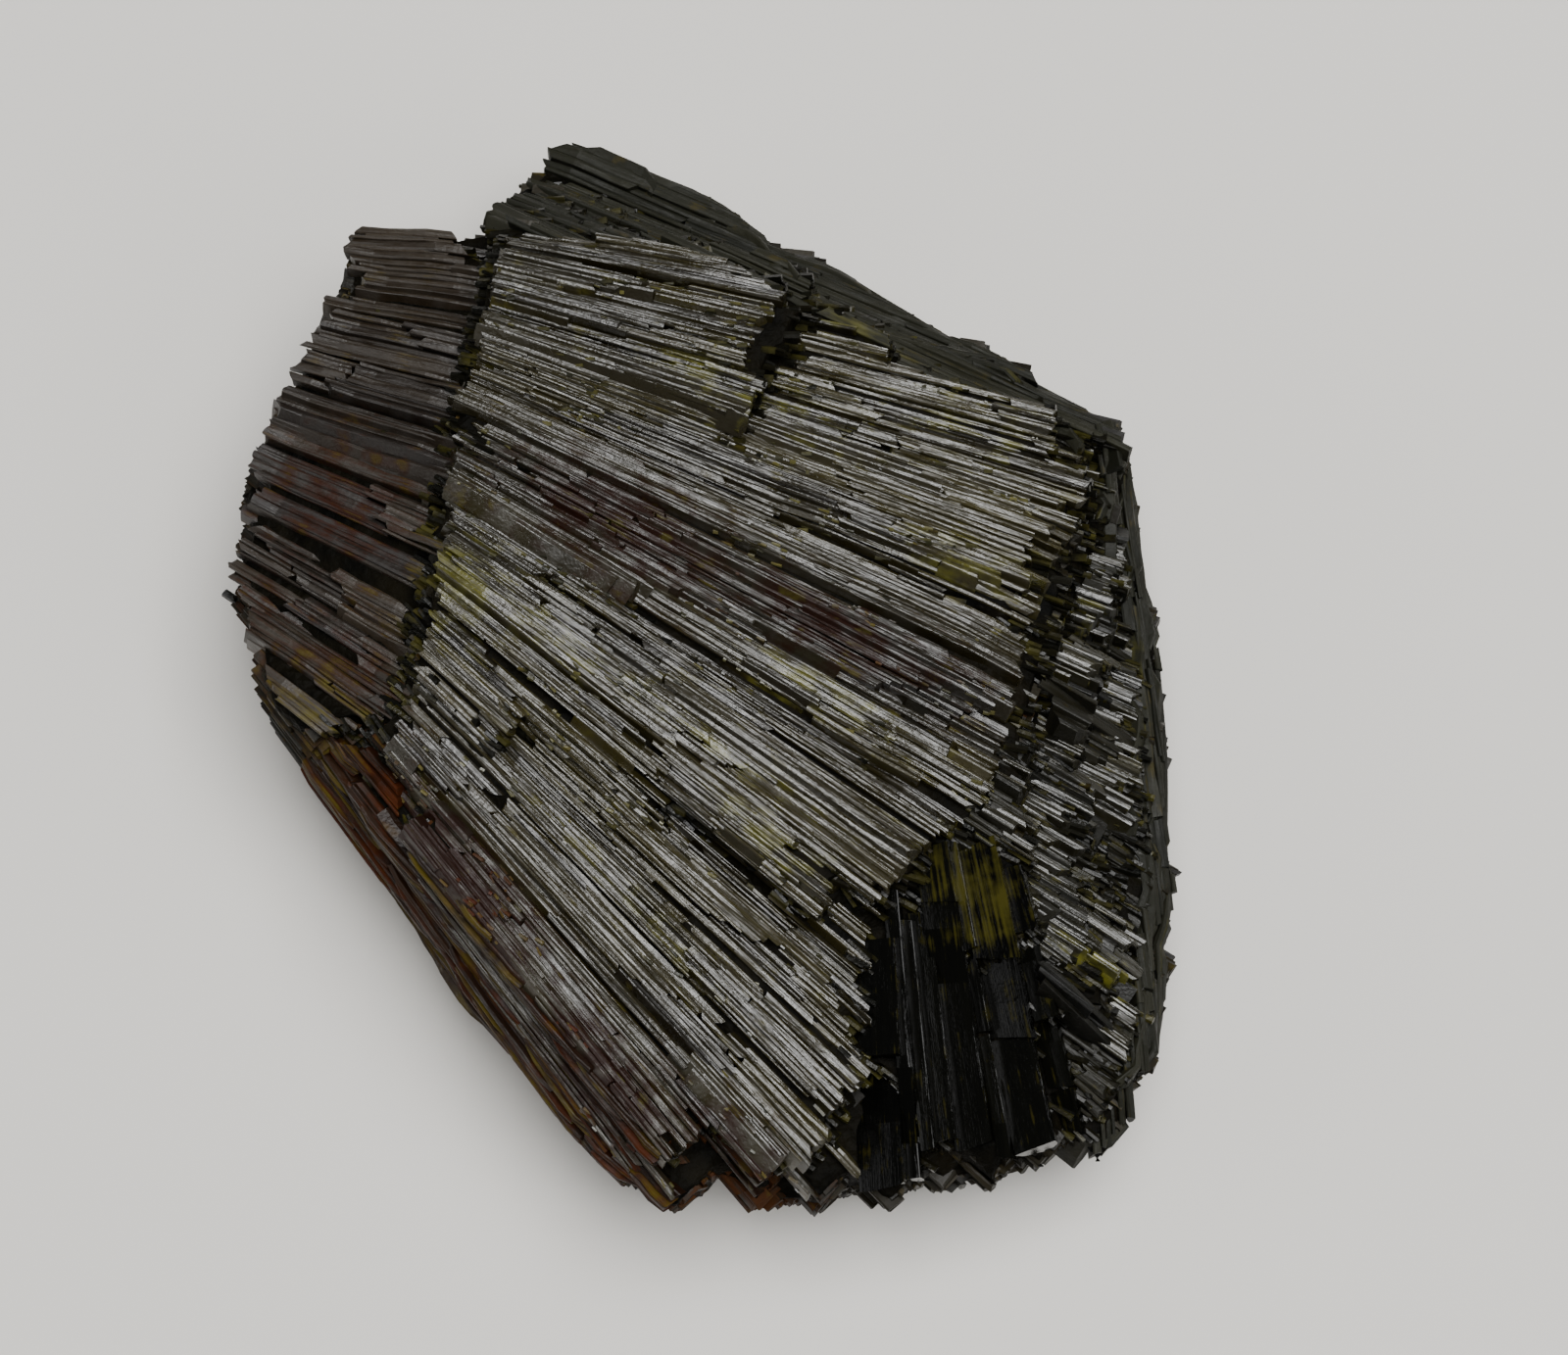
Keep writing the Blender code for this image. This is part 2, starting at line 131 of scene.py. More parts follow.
cad_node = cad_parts["epidote_cluster"]
mass = add_object("epidote_mass", cad_node.data.copy())
merged = bmesh.new()
merged.from_mesh(mass.data)
bmesh.ops.remove_doubles(merged, verts=merged.verts, dist=MERGE_WITHIN * MM)
merged.to_mesh(mass.data)
surface = BVHTree.FromBMesh(merged)
merged.free()
grain = mass.modifiers.new("even_grain", "REMESH")
grain.mode = "VOXEL"
grain.voxel_size = MASS_GRAIN * MM
inward = mass.modifiers.new("drawn_in", "DISPLACE")
inward.strength = -MASS_DRAWN_IN * MM
inward.mid_level = 0.0
graph = bpy.context.evaluated_depsgraph_get()
mass_mesh = bpy.data.meshes.new_from_object(mass.evaluated_get(graph))
mass.modifiers.clear()
mass.data = mass_mesh
# The face that it rests on isn't drawn in: it stays on the floor.
for point in mass.data.vertices:
    if point.co.z < (MASS_DRAWN_IN + RESTING_UNEVENNESS) * MM:
        point.co.z = max(0.0, point.co.z - MASS_DRAWN_IN * MM)
mass.data.materials.clear()
mass.data.materials.append(massive_epidote())
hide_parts("epidote_cluster")
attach(mass, "root")

# The broad fan: long striated epidote crystals side by side, all spreading from one point.
# Each is glassy with a silver sheen on its grooved face, and snapped off short at its far end.
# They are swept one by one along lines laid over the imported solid, with breaks at its steps.

PLAN_MIDDLE = (-0.552, 2.084)
MAIN_GROWTH_POINT = (-50.5, 33.0)
MAIN_FAN = [
    (-18.0, -4.6), (-16.4, -1.4), (-15.1, 2.8), (-14.3, 9.0), (-13.9, 15.3), (-12.5, 19.6),
    (-11.2, 25.0), (-2.0, 23.8), (6.0, 21.0), (13.2, 16.7), (18.7, 15.3), (22.2, 11.4),
    (19.8, 7.0), (18.2, 3.6), (17.0, -2.0), (15.6, -7.2), (12.4, -9.8), (9.2, -12.5),
    (8.9, -17.0), (9.0, -20.0), (8.1, -25.4), (8.6, -28.0), (7.0, -30.5), (-3.5, -30.5),
    (-5.0, -27.0), (-7.7, -23.2), (-12.2, -17.6), (-16.6, -10.4),
]
# The broken steps at the raised plate's end and at the fan's right end, clear of crystals: the
# near-black mass shows there as painted shade.
DARK_STEPS = [
    [(1.4, 16.2), (2.6, 15.9), (4.3, 18.3), (6.6, 21.4), (5.4, 22.2), (3.0, 19.2)],
    [(21.9, 11.4), (23.0, 10.8), (21.0, 6.0), (19.5, 2.5), (18.3, -2.5), (17.5, -2.5),
     (18.3, 3.2), (20.0, 7.0)],
]
# The levels of the solid are read this closely, and softened over this reach and blur, but only
# among levels that are this much alike, so that the steps stay sharp.
LEVEL_STEP = 0.35
LEVEL_REACH = 2.0
LEVEL_BLUR = 1.3
LEVEL_LIKE = 0.7
ABOVE_ALL = 40.0


def grid_of_levels():
    """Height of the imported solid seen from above, on an even grid, softened but for its steps."""
    low, high = (np.array(corner) / MM for corner in cad_box)
    columns = np.arange(low[0] - 1, high[0] + 1, LEVEL_STEP)
    rows = np.arange(low[1] - 1, high[1] + 1, LEVEL_STEP)
    levels = np.full((len(rows), len(columns)), np.nan)
    for row, y in enumerate(rows):
        for column, x in enumerate(columns):
            hit = surface.ray_cast(Vector((x, y, ABOVE_ALL)) * MM, Vector((0, 0, -1)))[0]
            if hit:
                levels[row, column] = hit.z / MM
    reach = int(LEVEL_REACH / LEVEL_STEP)
    total, weight = np.zeros_like(levels), np.zeros_like(levels)
    for down in range(-reach, reach + 1):
        for along in range(-reach, reach + 1):
            near = np.roll(levels, (down, along), axis=(0, 1))
            apart = (down**2 + along**2) * LEVEL_STEP**2
            share = np.exp(-apart / LEVEL_BLUR**2 - ((near - levels) / LEVEL_LIKE) ** 2)
            share = np.where(np.isnan(share), 0, share)
            total += share * np.where(np.isnan(near), 0, near)
            weight += share
    return columns, rows, np.where(np.isnan(levels), np.nan, total / np.maximum(weight, 1e-9))


columns, rows, levels = grid_of_levels()


def level_at(x, y):
    """Softened height at plan points, as an array, with nan off the specimen."""
    u = np.clip((x - columns[0]) / LEVEL_STEP, 0, len(columns) - 2)
    v = np.clip((y - rows[0]) / LEVEL_STEP, 0, len(rows) - 2)
    i, j = u.astype(int), v.astype(int)
    u, v = u - i, v - j
    corners = levels[j, i], levels[j, i + 1], levels[j + 1, i], levels[j + 1, i + 1]
    shares = (1 - u) * (1 - v), u * (1 - v), (1 - u) * v, u * v
    return sum(corner * share for corner, share in zip(corners, shares))


def to_frame(points):
    """Plan points moved so that the origin is under the middle of the specimen."""
    return [(x - PLAN_MIDDLE[0], y - PLAN_MIDDLE[1]) for x, y in points]


def inside(outline, x, y):
    """Which of the plan points lie inside an outline."""
    within = np.zeros(np.shape(x), bool)
    for (x0, y0), (x1, y1) in zip(outline, outline[1:] + outline[:1]):
        across = (y0 > y) != (y1 > y)
        with np.errstate(divide="ignore", invalid="ignore"):
            edge = x0 + (y - y0) * (x1 - x0) / (y1 - y0)
        within ^= across & (x < edge)
    return within


class Guides:
    """Lines for crystals to be swept along, with what each crystal needs at every point."""

    names = ("half_width", "depth", "along", "tone", "brown", "olive", "cut", "lean", "rise",
             "seed")

    def __init__(self):
        self.points, self.edges, self.ups = [], [], []
        self.values = {name: [] for name in self.names}

    def add(self, points, up, along, **values):
        start = len(self.points)
        last = len(points) - 1
        for index, point in enumerate(points):
            self.points.append([value * MM for value in point])
            self.ups.append(up)
            if index:
                self.edges.append((start + index - 1, start + index))
            cut = -1.0 if index == 0 else 1.0 if index == last else 0.0
            row = dict(values, along=along[index] * MM, cut=cut)
            for name in self.names:
                value = row[name]
                self.values[name].append(value[index] if isinstance(value, list) else value)

    def as_object(self, name):
        mesh = bpy.data.meshes.new(name)
        mesh.from_pydata(self.points, self.edges, [])
        for key, values in self.values.items():
            mesh.attributes.new(key, "FLOAT", "POINT").data.foreach_set("value", values)
        ups = np.array(self.ups, dtype=float).ravel()
        mesh.attributes.new("up", "FLOAT_VECTOR", "POINT").data.foreach_set("vector", ups)
        return add_object(name, mesh)


# Stains seen on the specimen: middle, half length along the crystals, half width, strength.
BROWN_STAINS = [
    ((-5.0, 8.5), 9.0, 3.6, 1.0), ((7.0, 2.5), 9.0, 2.6, 1.0), ((-21.0, 10.0), 7.0, 5.0, 0.75),
    ((-14.0, -11.0), 10.0, 2.6, 1.3), ((-6.0, -22.5), 7.0, 2.6, 1.3),
    ((2.0, -27.5), 9.0, 2.6, 1.0), ((-21.0, 0.0), 7.0, 4.0, 0.8), ((14.0, 0.5), 5.0, 1.5, 0.6),
    ((-26.0, 5.0), 5.0, 3.0, 0.6),
]
# Where the crystal faces lean away from the light: they are turned away from it there, and their
# colour is darkened as painted shade.
SHADED_SPOTS = [
    ((-5.0, 8.0), 16.0, 5.0, 1.0), ((9.0, 2.0), 12.0, 4.2, 1.0), ((-8.0, 20.0), 10.0, 3.6, 0.8),
    ((2.0, -26.5), 9.0, 2.8, 0.5), ((-12.0, -8.0), 9.0, 2.0, 0.6), ((9.0, -6.5), 5.0, 2.0, 0.5),
    ((-20.0, 12.0), 9.0, 4.0, 0.5), ((0.0, 14.0), 9.0, 1.2, 0.5), ((21.5, 5.0), 3.0, 2.2, 0.9),
    ((20.5, -6.0), 3.5, 3.5, 1.0), ((20.0, -13.0), 2.5, 1.6, 0.9), ((22.5, -17.5), 3.0, 1.4, 0.9),
    ((8.0, 8.5), 7.0, 1.5, 0.7), ((-2.0, 5.0), 14.0, 2.0, 0.8),
]
OLIVE_STAINS = [
    ((-14.0, 4.5), 3.0, 3.0, 0.8), ((2.0, 15.5), 6.0, 1.6, 0.5), ((16.0, 14.0), 5.0, 1.6, 0.6),
    ((6.5, -1.0), 4.0, 1.2, 0.8), ((14.5, 6.0), 3.0, 1.2, 0.8), ((-22.0, -1.5), 4.0, 2.5, 0.7),
    ((4.0, -10.0), 5.0, 1.0, 0.8), ((15.0, -12.2), 3.2, 2.4, 1.0), ((8.0, 20.0), 3.0, 1.0, 0.8),
    ((19.5, 5.0), 3.0, 1.4, 0.6), ((22.0, -16.0), 3.0, 1.2, 0.6), ((-8.0, 1.0), 5.0, 1.2, 0.6),
    ((0.0, -4.0), 6.0, 0.9, 0.6), ((-3.0, -14.0), 5.0, 1.0, 0.6),
]

# Crystals are followed in steps this long, and the fall across them is read this far aside.
ALONG_STEP = 0.4
ASIDE = 0.7
CRYSTAL_WIDTHS = (0.55, 0.7, 0.85, 1.0, 1.3, 1.8)
SUNK_BY = 0.35
SHADED_LEAN = 32
STEEPEST_FALL = 40
# At a break the next crystal is this near, and at a step a crystal runs this far under it.
BREAK_GAPS = (0.05, 0.33)
UNDER_A_STEP = 0.5


def stain(spots, x, y, growth):
    """How strongly a plan point is stained by spots drawn out along the crystals."""
    run = np.array([x - growth[0], y - growth[1]])
    run = run / np.linalg.norm(run)
    most = 0.0
    for middle, long, wide, strength in spots:
        gap = np.array([x, y]) - np.array(to_frame([middle])[0])
        along, across = gap @ run, gap[0] * run[1] - gap[1] * run[0]
        most = max(most, strength * math.exp(-(along / long) ** 2 - (across / wide) ** 2))
    return most


def seen_from(growth, places):
    """The headings and the distances of some places from a growth point."""
    away = np.array(places) - growth
    return np.arctan2(away[:, 1], away[:, 0]), np.linalg.norm(away, axis=1)


def lay_over(guides, outline, growth, pitch, seed, blade=(3, 8), mean_length=9.0, shortest=1.6,
             lift=(-0.25, 0.6), crown=0.3, splay=16.0, parting=0.6, uneven=0.05, roll=9.0,
             lean_over=0.0, climb=0.0, depth=1.4, gap_share=0.0, skew=1.0, station=1.5, worn=0.4,
             step_drop=0.9, slant=1.3, sunk=0.12, follow=1.0, steepest=9.0):
    """Lays lines over the upper side of the solid, side by side in a fan, blade by blade.

    A blade is a pack of some crystals, each about a pitch wide, with a parting beside it. It is
    broken across, askew by the skew, into parts of a mean_length. Each part has a lift and a
    climb, crowned across, and crystals that are uneven, and now and then sunk or gone. They
    roll, splay from the blade's middle, lean_over, and follow the fall of the solid. Their ends
    have a slant, and are worn at the edge of the specimen. Angles are in degrees.
    """
    dice = random.Random(seed)
    outline, growth = to_frame(outline), np.array(to_frame([growth])[0])
    steps = [to_frame(edge) for edge in DARK_STEPS]
    top = cad_box[1][2] / MM + 0.1
    headings, spread = seen_from(growth, outline)
    nearest, farthest = spread.min() - 1, spread.max() + 1
    heading, last = headings.min(), headings.max()
    reach = spread.mean()
    r = np.arange(nearest, farthest, ALONG_STEP)
    while heading < last:
        count = dice.randint(*blade)
        # Where the blade is broken across, how askew, and how each part lies between its breaks.
        breaks, at = [], nearest - dice.uniform(0, mean_length)
        while at < farthest:
            breaks.append(at)
            at += dice.expovariate(1 / mean_length) + shortest
        parts = [{
            "lift": dice.uniform(*lift), "roll": dice.gauss(lean_over, 1.5 * roll),
            "climb": dice.gauss(0, climb),
            "gone": dice.random() < gap_share, "tone": dice.random(), "at": at,
        } for at in [*breaks, farthest]]
        askew = [dice.uniform(-skew, skew) for _ in breaks]
        heading += parting * dice.random() ** 2 / reach
        for row in range(count):
            # A blade is crowned: its outer crystals lie lower and lean outwards.
            off_middle = (row + 0.5) / count * 2 - 1
            width = pitch * dice.choice(CRYSTAL_WIDTHS)
            middle = heading + width / reach / 2
            heading += width / reach
            run = np.array([math.cos(middle), math.sin(middle)])
            x, y = growth[0] + r * run[0], growth[1] + r * run[1]
            z = level_at(x, y)
            on_solid = ~np.isnan(z)
            # How steeply the solid falls across the crystal, where it does so on both sides.
            left = level_at(x - ASIDE * run[1], y + ASIDE * run[0]) - z
            right = z - level_at(x + ASIDE * run[1], y - ASIDE * run[0])
            left, right = (np.where(np.isnan(left), right, left),
                           np.where(np.isnan(right), left, right))
            fall = np.where(left * right > 0, np.minimum(abs(left), abs(right)), 0) / ASIDE
            fall = np.degrees(np.arctan(fall * np.sign(left + right)))
            held = inside(outline, x, y) & on_solid
            for edge in steps:
                held &= ~inside(edge, x, y)
            step = np.abs(np.diff(z, prepend=z[:1])) > step_drop
            ragged = [at + lean * (row - count / 2) + dice.gauss(0, 0.35)
                      for at, lean in zip(breaks, askew)]
            part = np.searchsorted(np.maximum.accumulate(ragged), r)
            cuts = np.flatnonzero(~held | step | (np.diff(part, prepend=part[:1]) > 0))
            ends = [-1, *cuts.tolist(), len(r)]
            for first, final in zip(ends, ends[1:]):
                begin = first if first >= 0 and held[first] else first + 1
                # A crystal stops just short of the edge of the specimen.
                begin += bool(begin and not on_solid[begin - 1])
                final -= bool(final < len(r) and not on_solid[final])
                long = r[final - 1] - r[begin] if final > begin else 0
                piece = parts[min(part[min((begin + final) // 2, len(r) - 1)], len(parts) - 1)]
                if long < shortest or piece["gone"]:
                    continue
                stations = np.linspace(begin, final - 1, 2 + int(long / station)).astype(int)
                middle_x, middle_y = x[(begin + final) // 2], y[(begin + final) // 2]
                # In the shaded spots a crystal leans away from the light, and its tone is darkened
                # there as painted shade.
                dull = stain(SHADED_SPOTS, middle_x, middle_y, growth)
                lean = piece["roll"] - splay * off_middle + dice.gauss(0, 0.4 * roll)
                lean += SHADED_LEAN * dull
                fallen = float(np.nanmean(fall[begin:final]))
                lean -= follow * min(STEEPEST_FALL, max(-STEEPEST_FALL, fallen))
                tilt = math.radians(lean)
                offset = piece["lift"] + dice.gauss(0, uneven) - SUNK_BY * (dice.random() < sunk)
                offset += crown * (0.5 - off_middle**2) * min(1, count / 4)
                rise = math.tan(math.radians(piece["climb"]))
                points = []
                for before, place in zip([begin, *stations], stations):
                    near = z[max(begin, place - 3):min(final, place + 4)]
                    up = offset + rise * (r[place] - piece["at"]) + dice.gauss(0, 0.5 * uneven)
                    level = min(float(np.mean(near)) + up, top)
                    if points:
                        most = steepest * (r[place] - r[before])
                        level = min(max(level, points[-1][2] - most), points[-1][2] + most)
                    points.append([x[place], y[place], level])
                # At a break it nearly meets the next one, and at a step it runs on under it.
                for end, way, beside in ((0, -1, begin - 1), (-1, 1, final)):
                    if 0 <= beside < len(r) and on_solid[beside]:
                        at_step = step[max(begin, beside)]
                        more = UNDER_A_STEP if at_step else dice.uniform(*BREAK_GAPS)
                        points[end][0] += way * more * run[0]
                        points[end][1] += way * more * run[1]
                # A crystal that reaches the edge of the specimen is worn down there.
                if begin > 1 and not on_solid[begin - 2]:
                    points[0][2] -= worn * dice.uniform(0.5, 1.3)
                if final < len(r) - 1 and not on_solid[final + 1]:
                    points[-1][2] -= worn * dice.uniform(0.5, 1.3)
                side = (-run[1] * math.sin(tilt), run[0] * math.sin(tilt), math.cos(tilt))
                # Its tone is partly random, and darkened as painted shade in the shaded spots.
                guides.add(
                    points, side, along=[float(r[place]) for place in stations],
                    half_width=width * dice.uniform(0.52, 0.64) * MM, depth=depth * MM,
                    tone=(0.6 * piece["tone"] + dice.uniform(0, 0.4)) * (1 - 0.7 * dull),
                    brown=[stain(BROWN_STAINS, px, py, growth) for px, py, _ in points],
                    olive=[stain(OLIVE_STAINS, px, py, growth) for px, py, _ in points],
                    lean=dice.uniform(-slant, slant), rise=dice.uniform(-slant, slant) / 2,
                    seed=dice.uniform(0, 0.7),
                )


def new_tree(name, inputs):
    """A Geometry Nodes group that takes a geometry, some inputs and a material."""
    tree = bpy.data.node_groups.new(name, "GeometryNodeTree")
    for socket, kind in [("Geometry", "Geometry"), *inputs, ("Material", "Material")]:
        tree.interface.new_socket(socket, in_out="INPUT", socket_type="NodeSocket" + kind)
    tree.interface.new_socket("Geometry", in_out="OUTPUT", socket_type="NodeSocketGeometry")
    return tree, add_node(tree, "NodeGroupInput").outputs


def finish_tree(tree, shape, material):
    """Makes a shape flat-shaded, real and of one material, and gives it out of the tree."""
    flat = add_node(tree, "GeometryNodeSetShadeSmooth", {"Geometry": shape, "Shade Smooth": False})
    real = add_node(tree, "GeometryNodeRealizeInstances", {"Geometry": flat})
    painted = add_node(tree, "GeometryNodeSetMaterial", {"Geometry": real, "Material": material})
    add_node(tree, "NodeGroupOutput", {"Geometry": painted})
    return tree


def crystal_tree():
    """Geometry Nodes: sweeps a grooved crystal along each line, closed by slanting broken ends."""
    tree, given = new_tree("grooved_crystals", [
        ("Groove depth", "Float"), ("Shoulder depth", "Float"),
        ("Grooves per millimetre", "Vector"), ("Section corners", "Int")])
    own = {name: add_node(tree, "GeometryNodeInputNamedAttribute", {"Name": name},
                          data_type="FLOAT")
           for name in ("half_width", "depth", "along", "lean", "rise", "cut", "seed")}
    up = add_node(tree, "GeometryNodeInputNamedAttribute", {"Name": "up"},
                  data_type="FLOAT_VECTOR")

    # The rail keeps its own place and heading, and the section its own two coordinates.
    here = add_node(tree, "GeometryNodeInputPosition").outputs[0]
    rail = add_node(tree, "GeometryNodeMeshToCurve", {"Mesh": given["Geometry"]})
    rail_kept = add_node(tree, "GeometryNodeCaptureAttribute")
    rail_kept.capture_items.new("VECTOR", "place")
    rail_kept.capture_items.new("VECTOR", "heading")
    tree.links.new(rail.outputs["Curve"], rail_kept.inputs["Geometry"])
    tree.links.new(here, rail_kept.inputs["place"])
    tree.links.new(add_node(tree, "GeometryNodeInputTangent").outputs[0],
                   rail_kept.inputs["heading"])
    section = add_node(tree, "GeometryNodeCurvePrimitiveCircle",
                       {"Resolution": given["Section corners"], "Radius": 1.0})
    section_kept = add_node(tree, "GeometryNodeCaptureAttribute")
    section_kept.capture_items.new("VECTOR", "section")
    tree.links.new(section.outputs["Curve"], section_kept.inputs["Geometry"])
    tree.links.new(here, section_kept.inputs["section"])
    small = add_node(tree, "GeometryNodeTransform", {"Geometry": section_kept,
                     "Scale": (0.0002, 0.0002, 0.0002)})
    swept = add_node(tree, "GeometryNodeCurveToMesh", {"Curve": rail_kept, "Profile Curve": small,
                     "Fill Caps": True})

    # Where a point lies on its own crystal, in millimetres: across it, along it, and which one.
    round_place = add_node(tree, "ShaderNodeSeparateXYZ", {0: section_kept.outputs["section"]})
    across, height = round_place.outputs["X"], round_place.outputs["Y"]
    wide = add_node(tree, "ShaderNodeMath", {0: across, 1: own["half_width"]},
                    operation="MULTIPLY")
    on_it = add_node(tree, "ShaderNodeCombineXYZ", {"X": wide, "Y": own["along"],
                     "Z": own["seed"]})
    on_crystal = add_node(tree, "ShaderNodeVectorMath", {0: on_it, "Scale": 1000.0},
                          operation="SCALE")

    # The section is flat and grooved on top, with steep sides that go down into the mass.
    groove_place = add_node(tree, "ShaderNodeVectorMath", {0: on_crystal,
                            1: given["Grooves per millimetre"]}, operation="MULTIPLY")
    grooves = add_node(tree, "ShaderNodeTexNoise", {"Vector": groove_place, "Scale": 1.0,
                       "Detail": 1.0})
    centred = add_node(tree, "ShaderNodeMath", {0: grooves, 1: 0.5}, operation="SUBTRACT")
    relief = add_node(tree, "ShaderNodeMath", {0: centred, 1: given["Groove depth"]},
                      operation="MULTIPLY")
    edge = add_node(tree, "ShaderNodeMath", {0: across, 1: 4.0}, operation="POWER")
    shoulder = add_node(tree, "ShaderNodeMath", {0: edge, 1: given["Shoulder depth"]},
                        operation="MULTIPLY")
    shouldered = add_node(tree, "ShaderNodeMath", {0: relief, 1: shoulder}, operation="SUBTRACT")
    on_top = add_node(tree, "ShaderNodeMath", {0: height, 1: -0.1}, operation="GREATER_THAN")
    below = add_node(tree, "ShaderNodeMath", {0: height, 1: 0.0}, operation="MINIMUM")
    deep = add_node(tree, "ShaderNodeMath", {0: below, 1: own["depth"]}, operation="MULTIPLY")
    raised = add_node(tree, "ShaderNodeMath", {0: on_top, 1: shouldered, 2: deep},
                      operation="MULTIPLY_ADD")

    # The first and last sections slant, as broken ends do.
    sideways = add_node(tree, "ShaderNodeMath", {0: across, 1: own["lean"]}, operation="MULTIPLY")
    slant = add_node(tree, "ShaderNodeMath", {0: height, 1: own["rise"], 2: sideways},
                     operation="MULTIPLY_ADD")
    push = add_node(tree, "ShaderNodeMath", {0: own["cut"], 1: own["half_width"]},
                    operation="MULTIPLY")
    pushed = add_node(tree, "ShaderNodeMath", {0: slant, 1: push}, operation="MULTIPLY")

    heading = rail_kept.outputs["heading"]
    square_on = add_node(tree, "ShaderNodeVectorMath", {0: heading, 1: up},
                         operation="CROSS_PRODUCT")
    side = add_node(tree, "ShaderNodeVectorMath", {0: square_on}, operation="NORMALIZE")
    beside = add_node(tree, "ShaderNodeVectorMath", {0: side, 1: wide,
                      2: rail_kept.outputs["place"]}, operation="MULTIPLY_ADD")
    above = add_node(tree, "ShaderNodeVectorMath", {0: up, 1: raised, 2: beside},
                     operation="MULTIPLY_ADD")
    moved = add_node(tree, "ShaderNodeVectorMath", {0: heading, 1: pushed, 2: above},
                     operation="MULTIPLY_ADD")
    shaped = add_node(tree, "GeometryNodeSetPosition", {"Geometry": swept, "Position": moved})
    stored = add_node(tree, "GeometryNodeStoreNamedAttribute", {"Geometry": shaped,
                      "Name": "on_crystal", "Value": on_crystal}, data_type="FLOAT_VECTOR",
                      domain="POINT")
    outward = add_node(tree, "GeometryNodeFlipFaces", {"Mesh": stored})
    return finish_tree(tree, outward, given["Material"])


grooved_crystals = crystal_tree()


def made_by(tree, bare, name, inputs):
    """Runs a tree on a bare object, and turns what it makes into a plain piece."""
    maker = bare.modifiers.new(tree.name, "NODES")
    maker.node_group = tree
    sockets = {item.name: item.identifier for item in tree.interface.items_tree
               if item.in_out == "INPUT"}
    for socket, value in inputs.items():
        maker[sockets[socket]] = value
    graph = bpy.context.evaluated_depsgraph_get()
    mesh = bpy.data.meshes.new_from_object(bare.evaluated_get(graph))
    bpy.data.objects.remove(bare)
    piece = add_object(name, mesh)
    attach(piece, "root")
    return piece


def grow(guides, name, material, groove_depth, groove_spacing=0.16, groove_run=3.0, corners=12,
         shoulder=0.1):
    """Sweeps crystals along the lines as one piece of the specimen."""
    return made_by(grooved_crystals, guides.as_object(name + "_lines"), name, {
        "Groove depth": groove_depth * MM, "Shoulder depth": shoulder * MM,
        "Grooves per millimetre": (1 / groove_spacing, 1 / groove_run, 1.0),
        "Section corners": corners, "Material": material})


